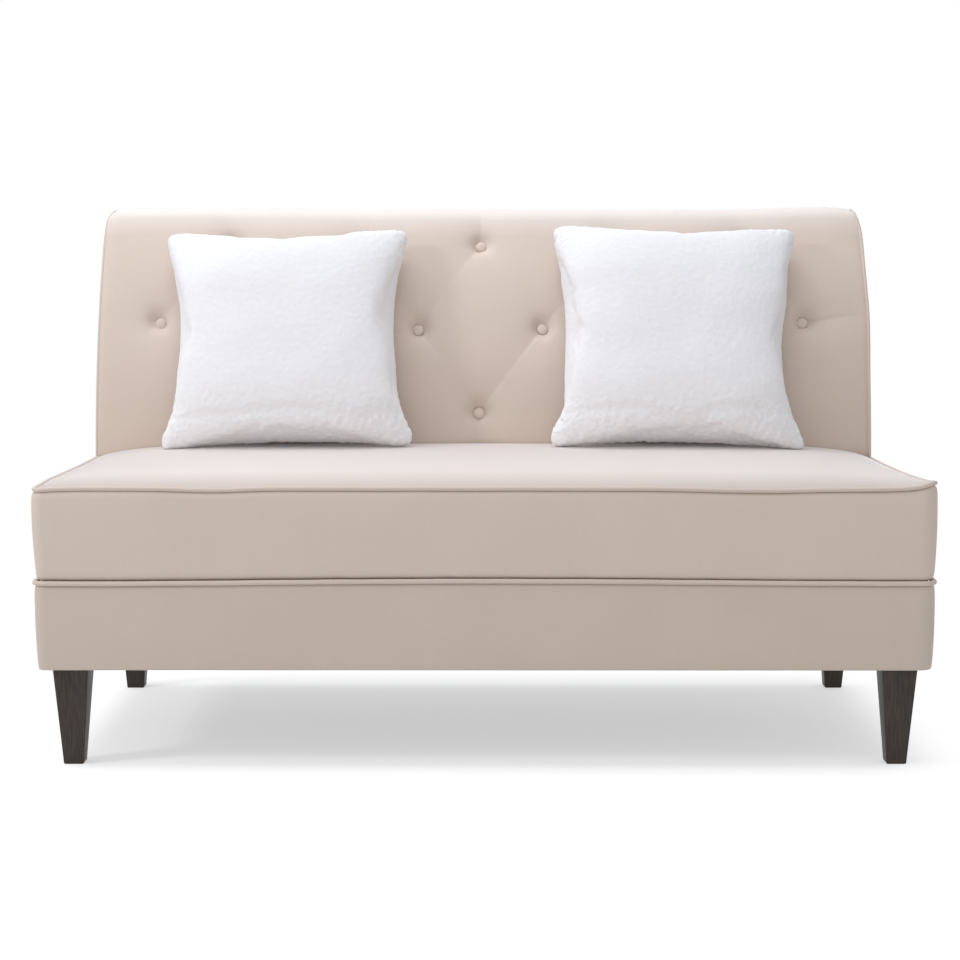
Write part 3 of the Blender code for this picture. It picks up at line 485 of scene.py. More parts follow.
# Side outline of the back, the same four runs as the CAD: lower front, front arc, roll and rear arc
backShape = {
    "lowerRise": 0.1315,
    "leanLow": math.radians(4),
    "leanHigh": math.radians(33),
    "rearLean": math.radians(30),
    "rollRadius": 0.045,
    "quilt": 0.020,
    "foam": 0.0247,
    "rearEdge": 0.003,
    "startS": 0.0055,
    "standsProud": (0.0056, 0.0012),
    "proudFrom": 0.45,
    "cornerWide": (0.024, 0.018),
    "cornerTall": (0.031, 0.050),
    "cornerUp": 0.0012,
    "bulge": (0.0, 0.0028),
    "bulgeZ": 0.665,
    "bulgeTall": 0.070,
    "topDip": 0.0026,
    "topRise": (0.0022, 0.0052),
    "riseFrom": (0.20, 0.38),
    "riseTo": (0.45, 0.64),
    "overhang": 0.0050,
    "step": 0.0030,
    "edgeStep": 0.012,
}


def measureBack():
    low, high, rear = backShape["leanLow"], backShape["leanHigh"], backShape["rearLean"]
    roll = backShape["rollRadius"]
    m = {}
    m["arcDepth"] = body["seatDepth"] + backShape["lowerRise"] * math.tan(low)
    m["arcZ"] = body["lowerWeltZ"] + backShape["lowerRise"]
    m["rollZ"] = body["topZ"] - roll
    m["arcRadius"] = (m["rollZ"] + roll * math.sin(high) - m["arcZ"]) / (math.sin(high) - math.sin(low))
    m["rollDepth"] = m["arcDepth"] + m["arcRadius"] * (math.cos(low) - math.cos(high)) + roll * math.cos(high)
    m["rearRadius"] = (m["rollDepth"] + roll * math.cos(rear) - body["baseDepth"]) / (1 - math.cos(rear))
    m["rearZ"] = m["rollZ"] - (roll + m["rearRadius"]) * math.sin(rear)
    m["lowerEnd"] = backShape["lowerRise"] / math.cos(low)
    m["frontEnd"] = m["lowerEnd"] + m["arcRadius"] * (high - low)
    m["crest"] = m["frontEnd"] + roll * (math.pi / 2 - high)
    m["rollEnd"] = m["frontEnd"] + roll * (math.pi + rear - high)
    m["rearEnd"] = m["rollEnd"] + m["rearRadius"] * rear
    return m


back = measureBack()


def backStation(s):
    # depth, height and heading at a distance s along the outside of the back, up and over
    low, high, roll = backShape["leanLow"], backShape["leanHigh"], backShape["rollRadius"]
    if s <= back["lowerEnd"]:
        return body["seatDepth"] + s * math.sin(low), body["lowerWeltZ"] + s * math.cos(low), low
    if s <= back["frontEnd"]:
        turn = low + (s - back["lowerEnd"]) / back["arcRadius"]
        depth = back["arcDepth"] + back["arcRadius"] * (math.cos(low) - math.cos(turn))
        return depth, back["arcZ"] + back["arcRadius"] * (math.sin(turn) - math.sin(low)), turn
    if s <= back["rollEnd"]:
        turn = high + (s - back["frontEnd"]) / roll
        return back["rollDepth"] - roll * math.cos(turn), back["rollZ"] + roll * math.sin(turn), turn
    if s <= back["rearEnd"]:
        lean = backShape["rearLean"] - (s - back["rollEnd"]) / back["rearRadius"]
        depth = body["baseDepth"] + back["rearRadius"] * (1 - math.cos(lean))
        return depth, back["rearZ"] + back["rearRadius"] * math.sin(lean), math.pi + lean
    return body["baseDepth"], back["rearZ"] - (s - back["rearEnd"]), math.pi


def backSurface(x, s, inset):
    # points of the back from x, distance along it and depth inside it; s sets the shape of the arrays
    x, inset = x + np.zeros(s.shape), inset + np.zeros(s.shape)
    values, order = np.unique(s.ravel(), return_inverse=True)
    stations = np.array([backStation(value) for value in values])
    depth, height, turn = (stations[order.ravel(), i].reshape(s.shape) for i in range(3))
    y = toY(depth + inset * np.cos(turn))
    z = height - inset * np.sin(turn)
    bulge = bySide(x, backShape["bulge"]) * np.exp(-(((z - backShape["bulgeZ"]) / backShape["bulgeTall"]) ** 2))
    out = bySide(x, backShape["standsProud"]) + bulge
    out = out * smoothStep(backShape["proudFrom"], body["besideWelt"], np.abs(x)) - cornerDrop(x, z)
    # the top sags a little in the middle and stands up towards its ends
    ends = smoothStep(bySide(x, backShape["riseFrom"]), bySide(x, backShape["riseTo"]), np.abs(x))
    rise = bySide(x, backShape["topRise"]) * ends - backShape["topDip"]
    z = z + rise * smoothStep(body["topZ"] - 0.07, body["topZ"] - 0.01, z)
    return np.stack([x + np.sign(x) * out, y, z], -1)


def cornerDrop(x, z):
    # how far the side edge is drawn in near the top, where the corner is rounded
    tall = bySide(x, backShape["cornerTall"])
    up = np.clip((z - (body["topZ"] + backShape["cornerUp"] - tall)) / tall, 0, 1)
    drop = bySide(x, backShape["cornerWide"]) * (1 - np.sqrt(1 - up**2))
    return drop * smoothStep(body["halfWidth"] - 0.095, body["besideWelt"] - 0.002, np.abs(x))


def coverDepth(s):
    # the wadded cover thins out over the roll
    return np.interp(s, [back["crest"], back["rollEnd"]], [backShape["quilt"], backShape["rearEdge"]])


# Tufted inside back: diamond tufting in foam, drawn in by covered buttons. Each kind of pleat has its
# strength and the reach over which it dies away; a pleat to a side edge ends at a place across and up.
# Puffs have their height, patch width and seed, as all ripples of the cloth do.
tufting = {
    "columnPitch": 0.2245,
    "rows": (0.2150, 0.3680, 0.5215),
    "buttons": (5, 6, 5),
    "neighbourReach": 0.215,
    "longPleats": ((0, 2, 3), (1, 4, 3), (0, 1, 1)),
    "longPleat": (1.15, 0.13),
    "shortPleat": (0.9, 0.05),
    "seatPleat": (0.9, 0.16),
    "seatPleatEnd": (0.004, 0.02),
    "middleTopPleat": (1.1, 0.07),
    "topPleat": (0.4, 0.04),
    "topPleatRun": (0.006, 0.19),
    "edgePleats": (((1, 5), (0.655, 0.391), 1.1, 0.10), ((1, 0), (-0.655, 0.385), 0.35, 0.05)),
    "proud": 0.0022,
    "dimple": 0.0065,
    "dimpleWidth": 0.044,
    "pit": 0.0085,
    "pitWidth": 0.0175,
    "valley": 0.0032,
    "valleyWidth": 0.030,
    "drape": (0.78, 1.2),
    "pleat": 0.0034,
    "pleatWidth": 0.0036,
    "pleatRest": 0.35,
    "pleatWander": 0.35,
    "creaseReach": 0.55,
    "laps": (2.6, 0.8),
    "puffs": (0.0013, 0.13, 3.0),
    "edgeRoll": (0.0030, 0.0075),
    "edgeRollWidth": (0.022, 0.065),
}

# Buttons pulled off their grid by hand, as the picture shows: (row, column) to a shift across and up
buttonStrays = {
    (0, 2): (-0.0095, -0.0010),
    (1, 0): (-0.0090, 0.0095),
    (1, 2): (-0.0045, -0.0028),
    (1, 3): (-0.0095, -0.0010),
    (1, 5): (-0.0010, 0.0100),
    (2, 2): (-0.0058, 0.0070),
    (1, 1): (0.002, 0.001),
    (1, 4): (-0.004, 0.001),
    (0, 0): (0.003, 0.004),
    (0, 4): (-0.004, 0.005),
    (2, 0): (-0.003, 0.006),
    (2, 4): (0.004, 0.007),
}


def buttonSpots():
    spots = {}
    for row, (count, s) in enumerate(zip(tufting["buttons"], tufting["rows"])):
        for column in range(count):
            across, up = buttonStrays.get((row, column), (0.0, 0.0))
            spots[row, column] = ((column - (count - 1) / 2) * tufting["columnPitch"] + across, s + up)
    return spots


spots = buttonSpots()


def pleatLines():
    # folds between neighbouring buttons, down to the seat, over the top and out to the sides
    lines = []
    for (row, column), here in spots.items():
        for (otherRow, otherColumn), there in spots.items():
            if otherRow == row + 1 and math.dist(here, there) < tufting["neighbourReach"]:
                long = (row, column, otherColumn) in tufting["longPleats"]
                lines.append((here, there, *tufting["longPleat" if long else "shortPleat"]))
        if row == 0:
            across, end = tufting["seatPleatEnd"]
            lines.append((here, (here[0] + across, end), *tufting["seatPleat"]))
        if row == 2:
            across, up = tufting["topPleatRun"]
            kind = "middleTopPleat" if column == 2 else "topPleat"
            lines.append((here, (here[0] + across, here[1] + up), *tufting[kind]))
    return lines + [(spots[spot], *rest) for spot, *rest in tufting["edgePleats"]]


def besideLine(x, s, first, second):
    # share along a line, distance off it, on which side, and its length
    dx, ds = second[0] - first[0], second[1] - first[1]
    length = math.hypot(dx, ds)
    share = np.clip(((x - first[0]) * dx + (s - first[1]) * ds) / length**2, 0, 1)
    offX, offS = x - (first[0] + share * dx), s - (first[1] + share * ds)
    return share, np.hypot(offX, offS), np.sign(offX * ds - offS * dx), length


def tuftInset(x, s):
    deep, fine, dimples = np.zeros((3, *x.shape))
    for i, (first, second, strength, reach) in enumerate(pleatLines()):
        share, off, side, length = besideLine(x, s, first, second)
        nearest = np.minimum(share, 1 - share) * length if second in spots.values() else share * length
        fold = tufting["pleatRest"] + (1 - tufting["pleatRest"]) * np.exp(-nearest / reach)
        valley = tufting["valley"] * strength * np.exp(-((off / tufting["valleyWidth"]) ** 2)) * fold
        deep = np.maximum(deep, valley)
        # one side of each pleat laps over the other, so its crease is steep on that side only
        lap = np.where(side * (-1) ** i > 0, *tufting["laps"]) * tufting["pleatWidth"]
        wander = 1 + tufting["pleatWander"] * math.sin(i * 2.4)
        crease = tufting["pleat"] * strength * wander * np.exp(-((off / lap) ** 1.3))
        crease = crease * np.exp(-nearest / (reach * tufting["creaseReach"]))
        fine += crease * smoothStep(0.0, 0.012, nearest + off)
    for i, (bx, bs) in enumerate(spots.values()):
        # pockets are deeper above each button, where the cloth drapes down into it
        dx, ds = x - bx, s - bs
        squash = np.hypot(dx, ds * np.where(ds > 0, *tufting["drape"]))
        wide = tufting["dimpleWidth"] * (1 + 0.1 * math.sin(i * 1.7))
        dimples += tufting["dimple"] * np.exp(-((squash / wide) ** 1.6))
        dimples += tufting["pit"] * np.exp(-((np.hypot(dx, ds - 0.002) / tufting["pitWidth"]) ** 2.2))
    return deep + fine + dimples


def backInset(x, s):
    puffs = tufting["puffs"][0] - ripple(x, s, tufting["puffs"])
    inset = tuftInset(x, s) + puffs - tufting["proud"]
    over = smoothStep(back["frontEnd"], back["crest"] + 0.01, s)
    inset *= (1 - over) * smoothStep(-0.01, 0.05, s)
    width = bySide(x, tufting["edgeRollWidth"])
    edge = np.clip((np.abs(x) - (body["besideWelt"] - width)) / width, 0, 1)
    roll = bySide(x, tufting["edgeRoll"]) * (0.35 * edge**2 + 0.65 * (1 - np.sqrt(1 - 0.98 * edge**3)))
    return np.minimum(inset * (1 - 0.9 * edge**2) + roll * (1 - 0.55 * over), backShape["quilt"] - 0.002)


def spread(low, high, stepLength, crowdedEnds=0.0):
    # evenly spaced values, with finer steps in the last part at both ends if asked
    values = list(np.linspace(low, high, max(2, round((high - low) / stepLength) + 1)))
    if crowdedEnds:
        fine = [low + crowdedEnds * (i / 10) ** 1.6 for i in range(1, 10)]
        fine += [low + high - value for value in fine]
        values = sorted(set(values) | set(fine))
        kept = [values[0]]
        for value in values[1:-1]:
            if min(value - kept[-1], high - value) > stepLength * 0.12:
                kept.append(value)
        values = kept + [values[-1]]
    return np.array(values)


def buildInsideBack():
    half, step = body["besideWelt"], backShape["step"]
    xs = spread(-half, half, step, backShape["edgeStep"])
    x, s = np.meshgrid(xs, spread(backShape["startS"], back["rollEnd"], step))
    outer = backSurface(x, s, backInset(x, s))
    # the filled edge laps out over most of the piping, down to where the roll turns over
    lap = smoothStep(half - 0.05, half, np.abs(x)) * (1 - smoothStep(back["frontEnd"], back["crest"], s))
    outer[..., 0] += np.sign(x) * backShape["overhang"] * lap
    inner = backSurface(x, s, coverDepth(s))
    piece = addSlab("insideBackCover", outer, inner, backClothPaintedLight, np.stack([x, s], -1), 70)
    place(piece, "back_tufted_cover")
    return piece


insideBack = buildInsideBack()
print("inside back built with", len(insideBack.data.polygons), "faces")


# Buttons: rings over the dome are shares of the radius and of the dome, those under it are in metres
buttonShape = {
    "radius": 0.0098,
    "rim": 0.0018,
    "dome": 0.0036,
    "sink": 0.0006,
    "gathers": 14,
    "gatherDepth": 0.00018,
    "sides": 36,
    "over": ((0.30, 0.97), (0.55, 0.87), (0.75, 0.70), (0.89, 0.45), (0.97, 0.2), (1.0, 0.0)),
    "under": ((0.0097, 0.0009), (0.0086, -0.0004), (0.0030, -0.0008)),
    "tip": 0.10,
    "twist": 0.6,
}


def buildButtons():
    # cloth pulled over a low metal dome; it gathers slightly where it turns under the rim
    sides, tip = buttonShape["sides"], buttonShape["tip"]
    rings = [
        (buttonShape["radius"] * share, buttonShape["rim"] + buttonShape["dome"] * lift, share**7)
        for share, lift in buttonShape["over"]
    ]
    rings += [(radius, z, 0) for radius, z in buttonShape["under"]]
    points = []
    for radius, z, gathered in rings:
        for angle in np.linspace(0, 2 * math.pi, sides, endpoint=False):
            r = radius + buttonShape["gatherDepth"] * math.sin(angle * buttonShape["gathers"]) * gathered
            points.append((r * math.cos(angle), r * math.sin(angle), z))
    top, last = len(points), len(points) - sides
    points += [(0, 0, buttonShape["rim"] + buttonShape["dome"]), (0, 0, rings[-1][1])]
    faces = ringFaces(len(rings), sides, False)
    for k in range(sides):
        after = (k + 1) % sides
        faces += [[top, after, k], [top + 1, last + k, last + after]]
    for number, (x, s) in enumerate(spots.values(), 1):
        inset = float(backInset(np.array([x]), np.array([s]))[0]) - buttonShape["sink"]
        depth, height, turn = backStation(s)
        centre = Vector((x, toY(depth + inset * math.cos(turn)), height - inset * math.sin(turn)))
        twist = buttonShape["twist"] * math.sin(number * 2.1)
        tipped = Euler((tip * math.sin(number * 1.3), tip * math.cos(number * 2.7), twist)).to_matrix()
        turned = Euler((math.pi / 2 - turn, 0, 0)).to_matrix() @ tipped
        solid = [tuple(centre + turned @ Vector(p)) for p in points]
        button = addMesh(f"coveredButton{number:02d}", solid, faces, cloth, [p[:2] for p in points])
        place(button, f"button_{number:02d}")


buildButtons()
print("buttons built:", len(spots))


# Plan of the seat: from the rear left, round both front corners, to the rear right
def seatPlan(inset, rearDepth):
    step = 0.005  # metres between points
    half = body["halfWidth"] + body["standsProud"] - inset
    corners = [radius - inset for radius in body["cornerRadii"]]
    line = []
    sideSteps = round((rearDepth - corners[0] - inset) / step)
    for t in np.linspace(0, 1, sideSteps, endpoint=False):
        line.append((-half, rearDepth + (inset + corners[0] - rearDepth) * t))
    for side, radius, start in ((-1, corners[0], math.pi), (1, corners[1], -math.pi / 2)):
        for angle in np.linspace(start, start + math.pi / 2, 9):
            x = side * (half - radius) + radius * math.cos(angle)
            line.append((x, inset + radius + radius * math.sin(angle)))
        if side < 0:
            gap = 2 * half - sum(corners)
            for t in np.linspace(0, 1, round(gap / step), endpoint=False)[1:]:
                line.append((-half + radius + gap * t, inset))
    for t in np.linspace(0, 1, sideSteps + 1)[1:]:
        line.append((half, inset + corners[1] + (rearDepth - inset - corners[1]) * t))
    return np.array(line)


# Seams: each dip of the upper one has its middle, width and depth
seams = {
    "upperRaised": 0.0012,
    "upperDips": ((-0.41, 0.055, 0.0026), (0.41, 0.10, 0.0034), (0.63, 0.12, 0.0014), (-0.675, 0.03, 0.0022)),
    "cornerRise": 0.0095,
    "cornerReach": 0.020,
    "cornerBlunt": 0.006,
    "sideFall": (0.0036, 0.0060),
    "lowerLowered": 0.0028,
    "lowerArch": 0.0022,
    "upperTremble": (0.0004, 0.06, 5.0),
    "lowerTremble": (0.0004, 0.07, 8.0),
    "upperRadius": 0.0035,
    "lowerRadius": 0.0038,
}


def upperSeam(x, depth):
    # the upper seam dips between the middle and the corners and falls towards the back, as the picture shows
    front = 1 - smoothStep(0.0, 0.12, depth)
    dips = sum(deep * np.exp(-(((x - middle) / wide) ** 2)) for middle, wide, deep in seams["upperDips"])
    fall = bySide(x, seams["sideFall"]) * smoothStep(0.0, 0.42, depth)
    # at the right front corner the seam is sewn a little high
    blunt = seams["cornerBlunt"]
    off = np.sqrt((x - body["halfWidth"]) ** 2 + (depth * 0.4) ** 2 + blunt**2) - blunt
    corner = seams["cornerRise"] * np.exp(-off / seams["cornerReach"])
    small = ripple(x, depth, seams["upperTremble"])
    return body["upperWeltZ"] + seams["upperRaised"] - dips * front - fall + corner + small


def lowerSeam(x, depth):
    reach = np.clip(np.abs(x) / body["halfWidth"], 0, 1)
    arch = seams["lowerArch"] * (np.cos(math.pi * reach) * 0.9 - 0.1) * (1 - smoothStep(0.0, 0.15, depth))
    return body["lowerWeltZ"] - seams["lowerLowered"] + arch + ripple(x, depth, seams["lowerTremble"])


# Seat: crowned top panel, boxing with a slight swell, base band that tapers in. Tucks draw a strip in
# near its lower and near its upper seam; each has a depth and a reach.
seatShape = {
    "panelEdge": 0.0022,
    "panelSide": 0.0038,
    "panelFront": 0.0036,
    "panelUnder": 0.4216,
    "panelStep": 0.0065,
    "panelEdgeStep": 0.016,
    "lip": 0.0022,
    "lipWidth": 0.016,
    "lipSteepness": 42,
    "sidePower": 7.0,
    "frontPower": 4.0,
    "broadWaves": (0.0011, 0.17, 11.0),
    "edgeWaves": (0.0005, 0.035, 12.0),
    "edgeWaveReach": 0.03,
    "seamReach": 0.025,
    "rearGap": 0.0026,
    "boxingLow": (0.0010, 0.0028),
    "boxingLean": (0.0040, 0.0012),
    "boxingSwell": 0.0012,
    "boxingTucks": (((0.00416, 0.016), (0.0020, 0.10)), ((0.00572, 0.020),)),
    "boxingWaves": (0.0007, 0.11, 21.0),
    "boxingPuckers": (0.0004, 0.028, 22.0),
    "puckerReach": 0.12,
    "boxingTall": 0.135,
    "boxingRearLap": 0.0020,
    "coverThickness": 0.003,
    "coverRows": 34,
    "bandLow": (0.0002, 0.0020),
    "bandLean": (0.0030, 0.0017),
    "bandSwell": 0.0012,
    "bandTucks": (((0.0010, 0.010), (0.0014, 0.09)), ((0.0026, 0.012), (0.0016, 0.07))),
    "bandWaves": (0.0006, 0.16, 31.0),
    "bandTall": 0.147,
    "bandHem": 0.0135,
    "lap": 0.0003,
    "upperProud": 0.0006,
    "lowerProud": 0.0026,
}


def crownHeight(x, depth):
    half = body["halfWidth"] + body["standsProud"] - seatShape["panelSide"]
    reach = np.clip(np.abs(x) / half, 0, 1)
    rear = np.clip(depth / body["seatDepth"], 0, 1)
    rise = (1 - reach ** seatShape["sidePower"]) * (1 - (1 - rear) ** seatShape["frontPower"])
    edge = body["upperWeltZ"] + seatShape["panelEdge"]
    # a fast first rise beside the welt, where the cloth turns over the edge of the foam
    turned = 1 - np.exp(-(1 - reach) * seatShape["lipSteepness"])
    turned = turned * (1 - np.exp(-depth / seatShape["lipWidth"]))
    return edge + (body["crownZ"] - edge - seatShape["lip"]) * rise + seatShape["lip"] * turned


def seatRear(z):
    slope = math.tan(backShape["leanLow"])
    return body["seatDepth"] + (z - body["lowerWeltZ"]) * slope - seatShape["rearGap"]


def buildSeatTop():
    half = body["halfWidth"] + body["standsProud"] - seatShape["panelSide"]
    front, step, edgeStep = seatShape["panelFront"], seatShape["panelStep"], seatShape["panelEdgeStep"]
    xs = spread(-half, half, step, edgeStep)
    x, d = np.meshgrid(xs, spread(front, float(seatRear(body["crownZ"])), step, edgeStep))
    corner = bySide(x, body["cornerRadii"])
    cornerX = body["halfWidth"] + body["standsProud"] - corner
    offX, offD = np.abs(x) - cornerX, corner - d
    away = np.hypot(np.maximum(offX, 0), np.maximum(offD, 0))
    limit = corner - front
    pull = np.where((offX > 0) & (offD > 0) & (away > limit), limit / np.maximum(away, 1e-9), 1.0)
    flatX = np.where(pull < 1, np.sign(x) * (cornerX + offX * pull), x)
    flatD = np.where(pull < 1, corner - offD * pull, d)
    z = crownHeight(flatX, np.where(d <= front, 0.0, flatD))
    toEdge = np.minimum(half - np.abs(flatX), flatD - front)
    z = z + ripple(flatX, flatD, seatShape["broadWaves"]) * smoothStep(0, 0.08, toEdge)
    small = ripple(flatX, 0.35 * flatD, seatShape["edgeWaves"])
    z = z + small * np.exp(-toEdge / seatShape["edgeWaveReach"])
    z = z + (upperSeam(flatX, flatD) - body["upperWeltZ"]) * np.exp(-toEdge / seatShape["seamReach"])
    outer = np.stack([flatX, toY(flatD), z], -1)
    under = seatShape["panelUnder"]
    inner = outer.copy()
    inner[..., 2] = under
    inner[-1, :, 1] = np.minimum(inner[-1, :, 1], toY(seatRear(under)))
    piece = addSlab("seatTopPanel", outer, inner, seatClothPaintedLight, np.stack([flatX, flatD], -1))
    place(piece, "seat_top_panel")


def buildBand(name, lowZ, highZ, rearDepth, offset, stands, finish, rearLap=0.0, hem=0.0):
    # a strip of cover round the front and sides; offset gives how far it stands out at each height
    outerLine = seatPlan(0.0, rearDepth)
    innerLine = seatPlan(seatShape["coverThickness"], rearDepth)
    run = runLength(outerLine)
    rows = seatShape["coverRows"]
    outer = np.zeros((rows, len(outerLine), 3))
    inner = np.zeros_like(outer)
    outward = outerLine - innerLine
    outward /= np.linalg.norm(outward, axis=1)[:, None]
    low, high = lowZ(outerLine), highZ(outerLine)
    for row, share in enumerate(0.5 - 0.5 * np.cos(np.linspace(0, math.pi, rows))):
        z = low + (high - low) * share
        out = outward * offset(share, outerLine[:, 0], run, z)[:, None]
        for grid, line in ((outer, outerLine + out), (inner, innerLine + out)):
            grid[row] = np.stack([line[:, 0], toY(line[:, 1]), z], -1)
            # the rear ends are cut to the slope of the back
            for end in (0, -1) if rearLap else ():
                grid[row, end, 1] = toY(seatRear(float(z[end])) + rearLap)
    if hem:
        # the lower edge is turned in under the rails
        turned = seatPlan(hem, rearDepth)
        inner[0, :, 0], inner[0, :, 1] = turned[:, 0], toY(turned[:, 1])
    threads = np.stack([np.tile(run, (rows, 1)), outer[..., 2]], -1)
    piece = addSlab(name, outer, inner, finish, threads)
    place(piece, stands)
    return piece, float(run[-1])


def seamTuck(share, tucks):
    return sum(deep * math.exp(-abs(share - seam) / reach) for seam in (0, 1) for deep, reach in tucks[seam])


def boxingOffset(share, x, run, z):
    # fullest under the upper welt, where the foam bulges, and tucked in at both seams
    low, lean = (leftToRight(x, seatShape[key]) for key in ("boxingLow", "boxingLean"))
    middle = math.sin(math.pi * share)
    out = low + lean * float(smoothStep(0.0, 0.92, share)) - seamTuck(share, seatShape["boxingTucks"])
    out = out + (seatShape["boxingSwell"] + ripple(run, 0.4 * z, seatShape["boxingWaves"])) * middle
    nearSeam = seamTuck(share, [[(1, seatShape["puckerReach"])]] * 2)
    return out + ripple(run, 0.3 * z, seatShape["boxingPuckers"]) * nearSeam


def baseOffset(share, x, run, z):
    # leans out towards the top, drawn in at the welt and at the hem
    low, lean = (leftToRight(x, seatShape[key]) for key in ("bandLow", "bandLean"))
    out = low + lean * share**1.4 - seamTuck(share, seatShape["bandTucks"])
    return out + seatShape["bandSwell"] * math.sin(math.pi * share) + ripple(run, 0.3 * z, seatShape["bandWaves"])


def buildSeat():
    buildSeatTop()
    upper, lower, lap = seams["upperRadius"], seams["lowerRadius"], seatShape["lap"]
    boxing, boxingRun = buildBand(
        "seatBoxing",
        lambda line: lowerSeam(line[:, 0], line[:, 1]) + lower - lap - 0.0001,
        lambda line: upperSeam(line[:, 0], line[:, 1]) - upper + lap,
        body["seatDepth"], boxingOffset, "seat_boxing", cloth, rearLap=seatShape["boxingRearLap"],
    )
    base, baseRun = buildBand(
        "baseBand",
        lambda line: np.full(len(line), body["legTop"] + lap),
        lambda line: lowerSeam(line[:, 0], line[:, 1]) - lower + lap,
        body["baseDepth"], baseOffset, "base_band", bandClothPaintedShade, hem=seatShape["bandHem"],
    )
    for name, seam, proud, rear in (
        ("upper", upperSeam, seatShape["upperProud"], float(seatRear(body["upperWeltZ"]))),
        ("lower", lowerSeam, seatShape["lowerProud"], body["baseDepth"]),
    ):
        line = seatPlan(-proud, rear)
        path = np.stack([line[:, 0], toY(line[:, 1]), seam(line[:, 0], line[:, 1])], -1)
        piping = addTube(name + "SeatPiping", path, seams[name + "Radius"], pipingClothPaintedShade)
        place(piping, name + "_seat_welt")


buildSeat()
print("seat built")


# Side panels of the back, their piping, the outside back and the dust cloth
sideShape = {
    "bottomZ": 0.2899,
    "pipingRadius": 0.0030,
    "pipingSink": 0.0062,
    "pipingIn": 0.002,
    "pipingOut": (0.0024, 0.0028),
    "pathStep": 0.004,
    "panelGrid": (150, 18),
    "panelInset": 0.0060,
    "panelIn": 0.0006,
    "panelSwell": 0.0022,
    "panelTuck": (0.0016, 0.004),
    "panelWaves": (0.0006, 0.07, 41.0),
    "panelThickness": 0.003,
    "panelInnerX": 0.6650,
    "outsideBottomZ": 0.1513,
    "outsideStep": (0.014, 0.010),
    "outsideThickness": 0.0022,
    "outsideWaves": (0.0005, 0.16, 51.0),
    "outsideTucks": ((0.0022, 0.003), (0.0018, 0.004)),
    "rearSag": 0.0015,
    "dustInset": 0.0036,
    "dustStep": 0.02,
    "dustZ": 0.1515,
    "dustSag": 0.0035,
    "dustWaves": (0.0010, 0.09, 61.0),
    "dustThickness": 0.0006,
}


def evenPath(path, stepLength):
    # the same path with its points evenly spaced
    run = runLength(path)
    at = np.linspace(0, run[-1], round(run[-1] / stepLength) + 1)
    return np.stack([np.interp(at, run, path[:, i]) for i in range(3)], -1)


def buildSide(side, sign):
    proud, out = (float(bySide(sign, pair)) for pair in (backShape["standsProud"], sideShape["pipingOut"]))
    sLow = (sideShape["bottomZ"] - body["lowerWeltZ"]) / math.cos(backShape["leanLow"])
    sRear = back["rearEnd"] + back["rearZ"] - sideShape["bottomZ"]
    step = sideShape["pathStep"]
    s = spread(sLow, sRear, step)
    edge = backSurface(sign * body["halfWidth"], s, 0.0)
    top = smoothStep(body["topZ"] - 0.06, body["topZ"] - 0.004, edge[:, 2])
    x = body["halfWidth"] - sideShape["pipingIn"] + out * (1 - top)
    path = evenPath(backSurface(sign * x, s, sideShape["pipingSink"]), step)
    place(addTube(side + "BackPiping", path, sideShape["pipingRadius"], pipingClothPaintedShade), side + "_back_welt")
    # the panel is lofted between its front and rear edges, which meet at the crest
    rows, cols = sideShape["panelGrid"]
    t = np.linspace(0, 1, rows) ** 0.9
    inset = sideShape["panelInset"]
    frontEdge = backSurface(0.0, sLow + (back["crest"] - inset - sLow) * t, inset)
    rearEdge = backSurface(0.0, sRear + (back["crest"] + inset - sRear) * t, inset)
    u = np.linspace(0, 1, cols)[None, :]
    across = frontEdge[:, None, :] * (1 - u[..., None]) + rearEdge[:, None, :] * u[..., None]
    y, z = across[..., 1], across[..., 2]
    gap = np.linalg.norm(rearEdge - frontEdge, axis=1)[:, None]
    swell = sideShape["panelSwell"] * np.sin(math.pi * u) ** 0.7 * smoothStep(0.0, 0.06, gap)
    deep, reach = sideShape["panelTuck"]
    tuck = deep * (np.exp(-u * gap / reach) + np.exp(-(1 - u) * gap / reach))
    height, size, seed = sideShape["panelWaves"]
    flat = np.stack([0 * y.ravel() + sign, y.ravel(), z.ravel()], -1)
    waves = height * softNoise(flat, size, seed + sign).reshape(rows, cols)
    x = np.full((rows, cols), sign * (body["halfWidth"] - sideShape["panelIn"]))
    outX = x - sign * cornerDrop(x, z) + sign * (proud + swell - tuck + waves)
    inX = sign * np.minimum(np.abs(outX) - sideShape["panelThickness"], sideShape["panelInnerX"] + proud)
    outer, inner = np.stack([outX, y, z], -1), np.stack([inX, y, z], -1)
    panel = addSlab(side + "BackSidePanel", outer, inner, cloth, np.stack([y, z], -1))
    place(panel, side + "_back_side_panel")


def buildOutsideBack():
    half = body["besideWelt"]
    stepX, stepS = sideShape["outsideStep"]
    ss = spread(back["rollEnd"] + 0.0006, back["rearEnd"] + back["rearZ"] - sideShape["outsideBottomZ"], stepS)
    x, s = np.meshgrid(spread(-half, half, stepX, 0.012), ss)
    inward = np.clip((half - np.abs(x)) / 0.30, 0, 1)
    share = (s - ss[0]) / (ss[-1] - ss[0])
    # stretched between its edges, the cloth lies a little inside the curve of the posts
    inset = sideShape["rearSag"] * np.sin(math.pi * share) * smoothStep(0, 1, inward)
    inset += (sideShape["outsideWaves"][0] + ripple(x, s, sideShape["outsideWaves"])) * inward
    # tucked in beside the side piping and under the roll
    for away, (deep, reach) in zip((half - np.abs(x), s - ss[0]), sideShape["outsideTucks"]):
        inset += deep * np.exp(-away / reach)
    outer, inner = backSurface(x, s, inset), backSurface(x, s, inset + sideShape["outsideThickness"])
    piece = addSlab("outsideBackPanel", outer, inner, cloth, np.stack([x, s], -1))
    place(piece, "outside_back_panel")


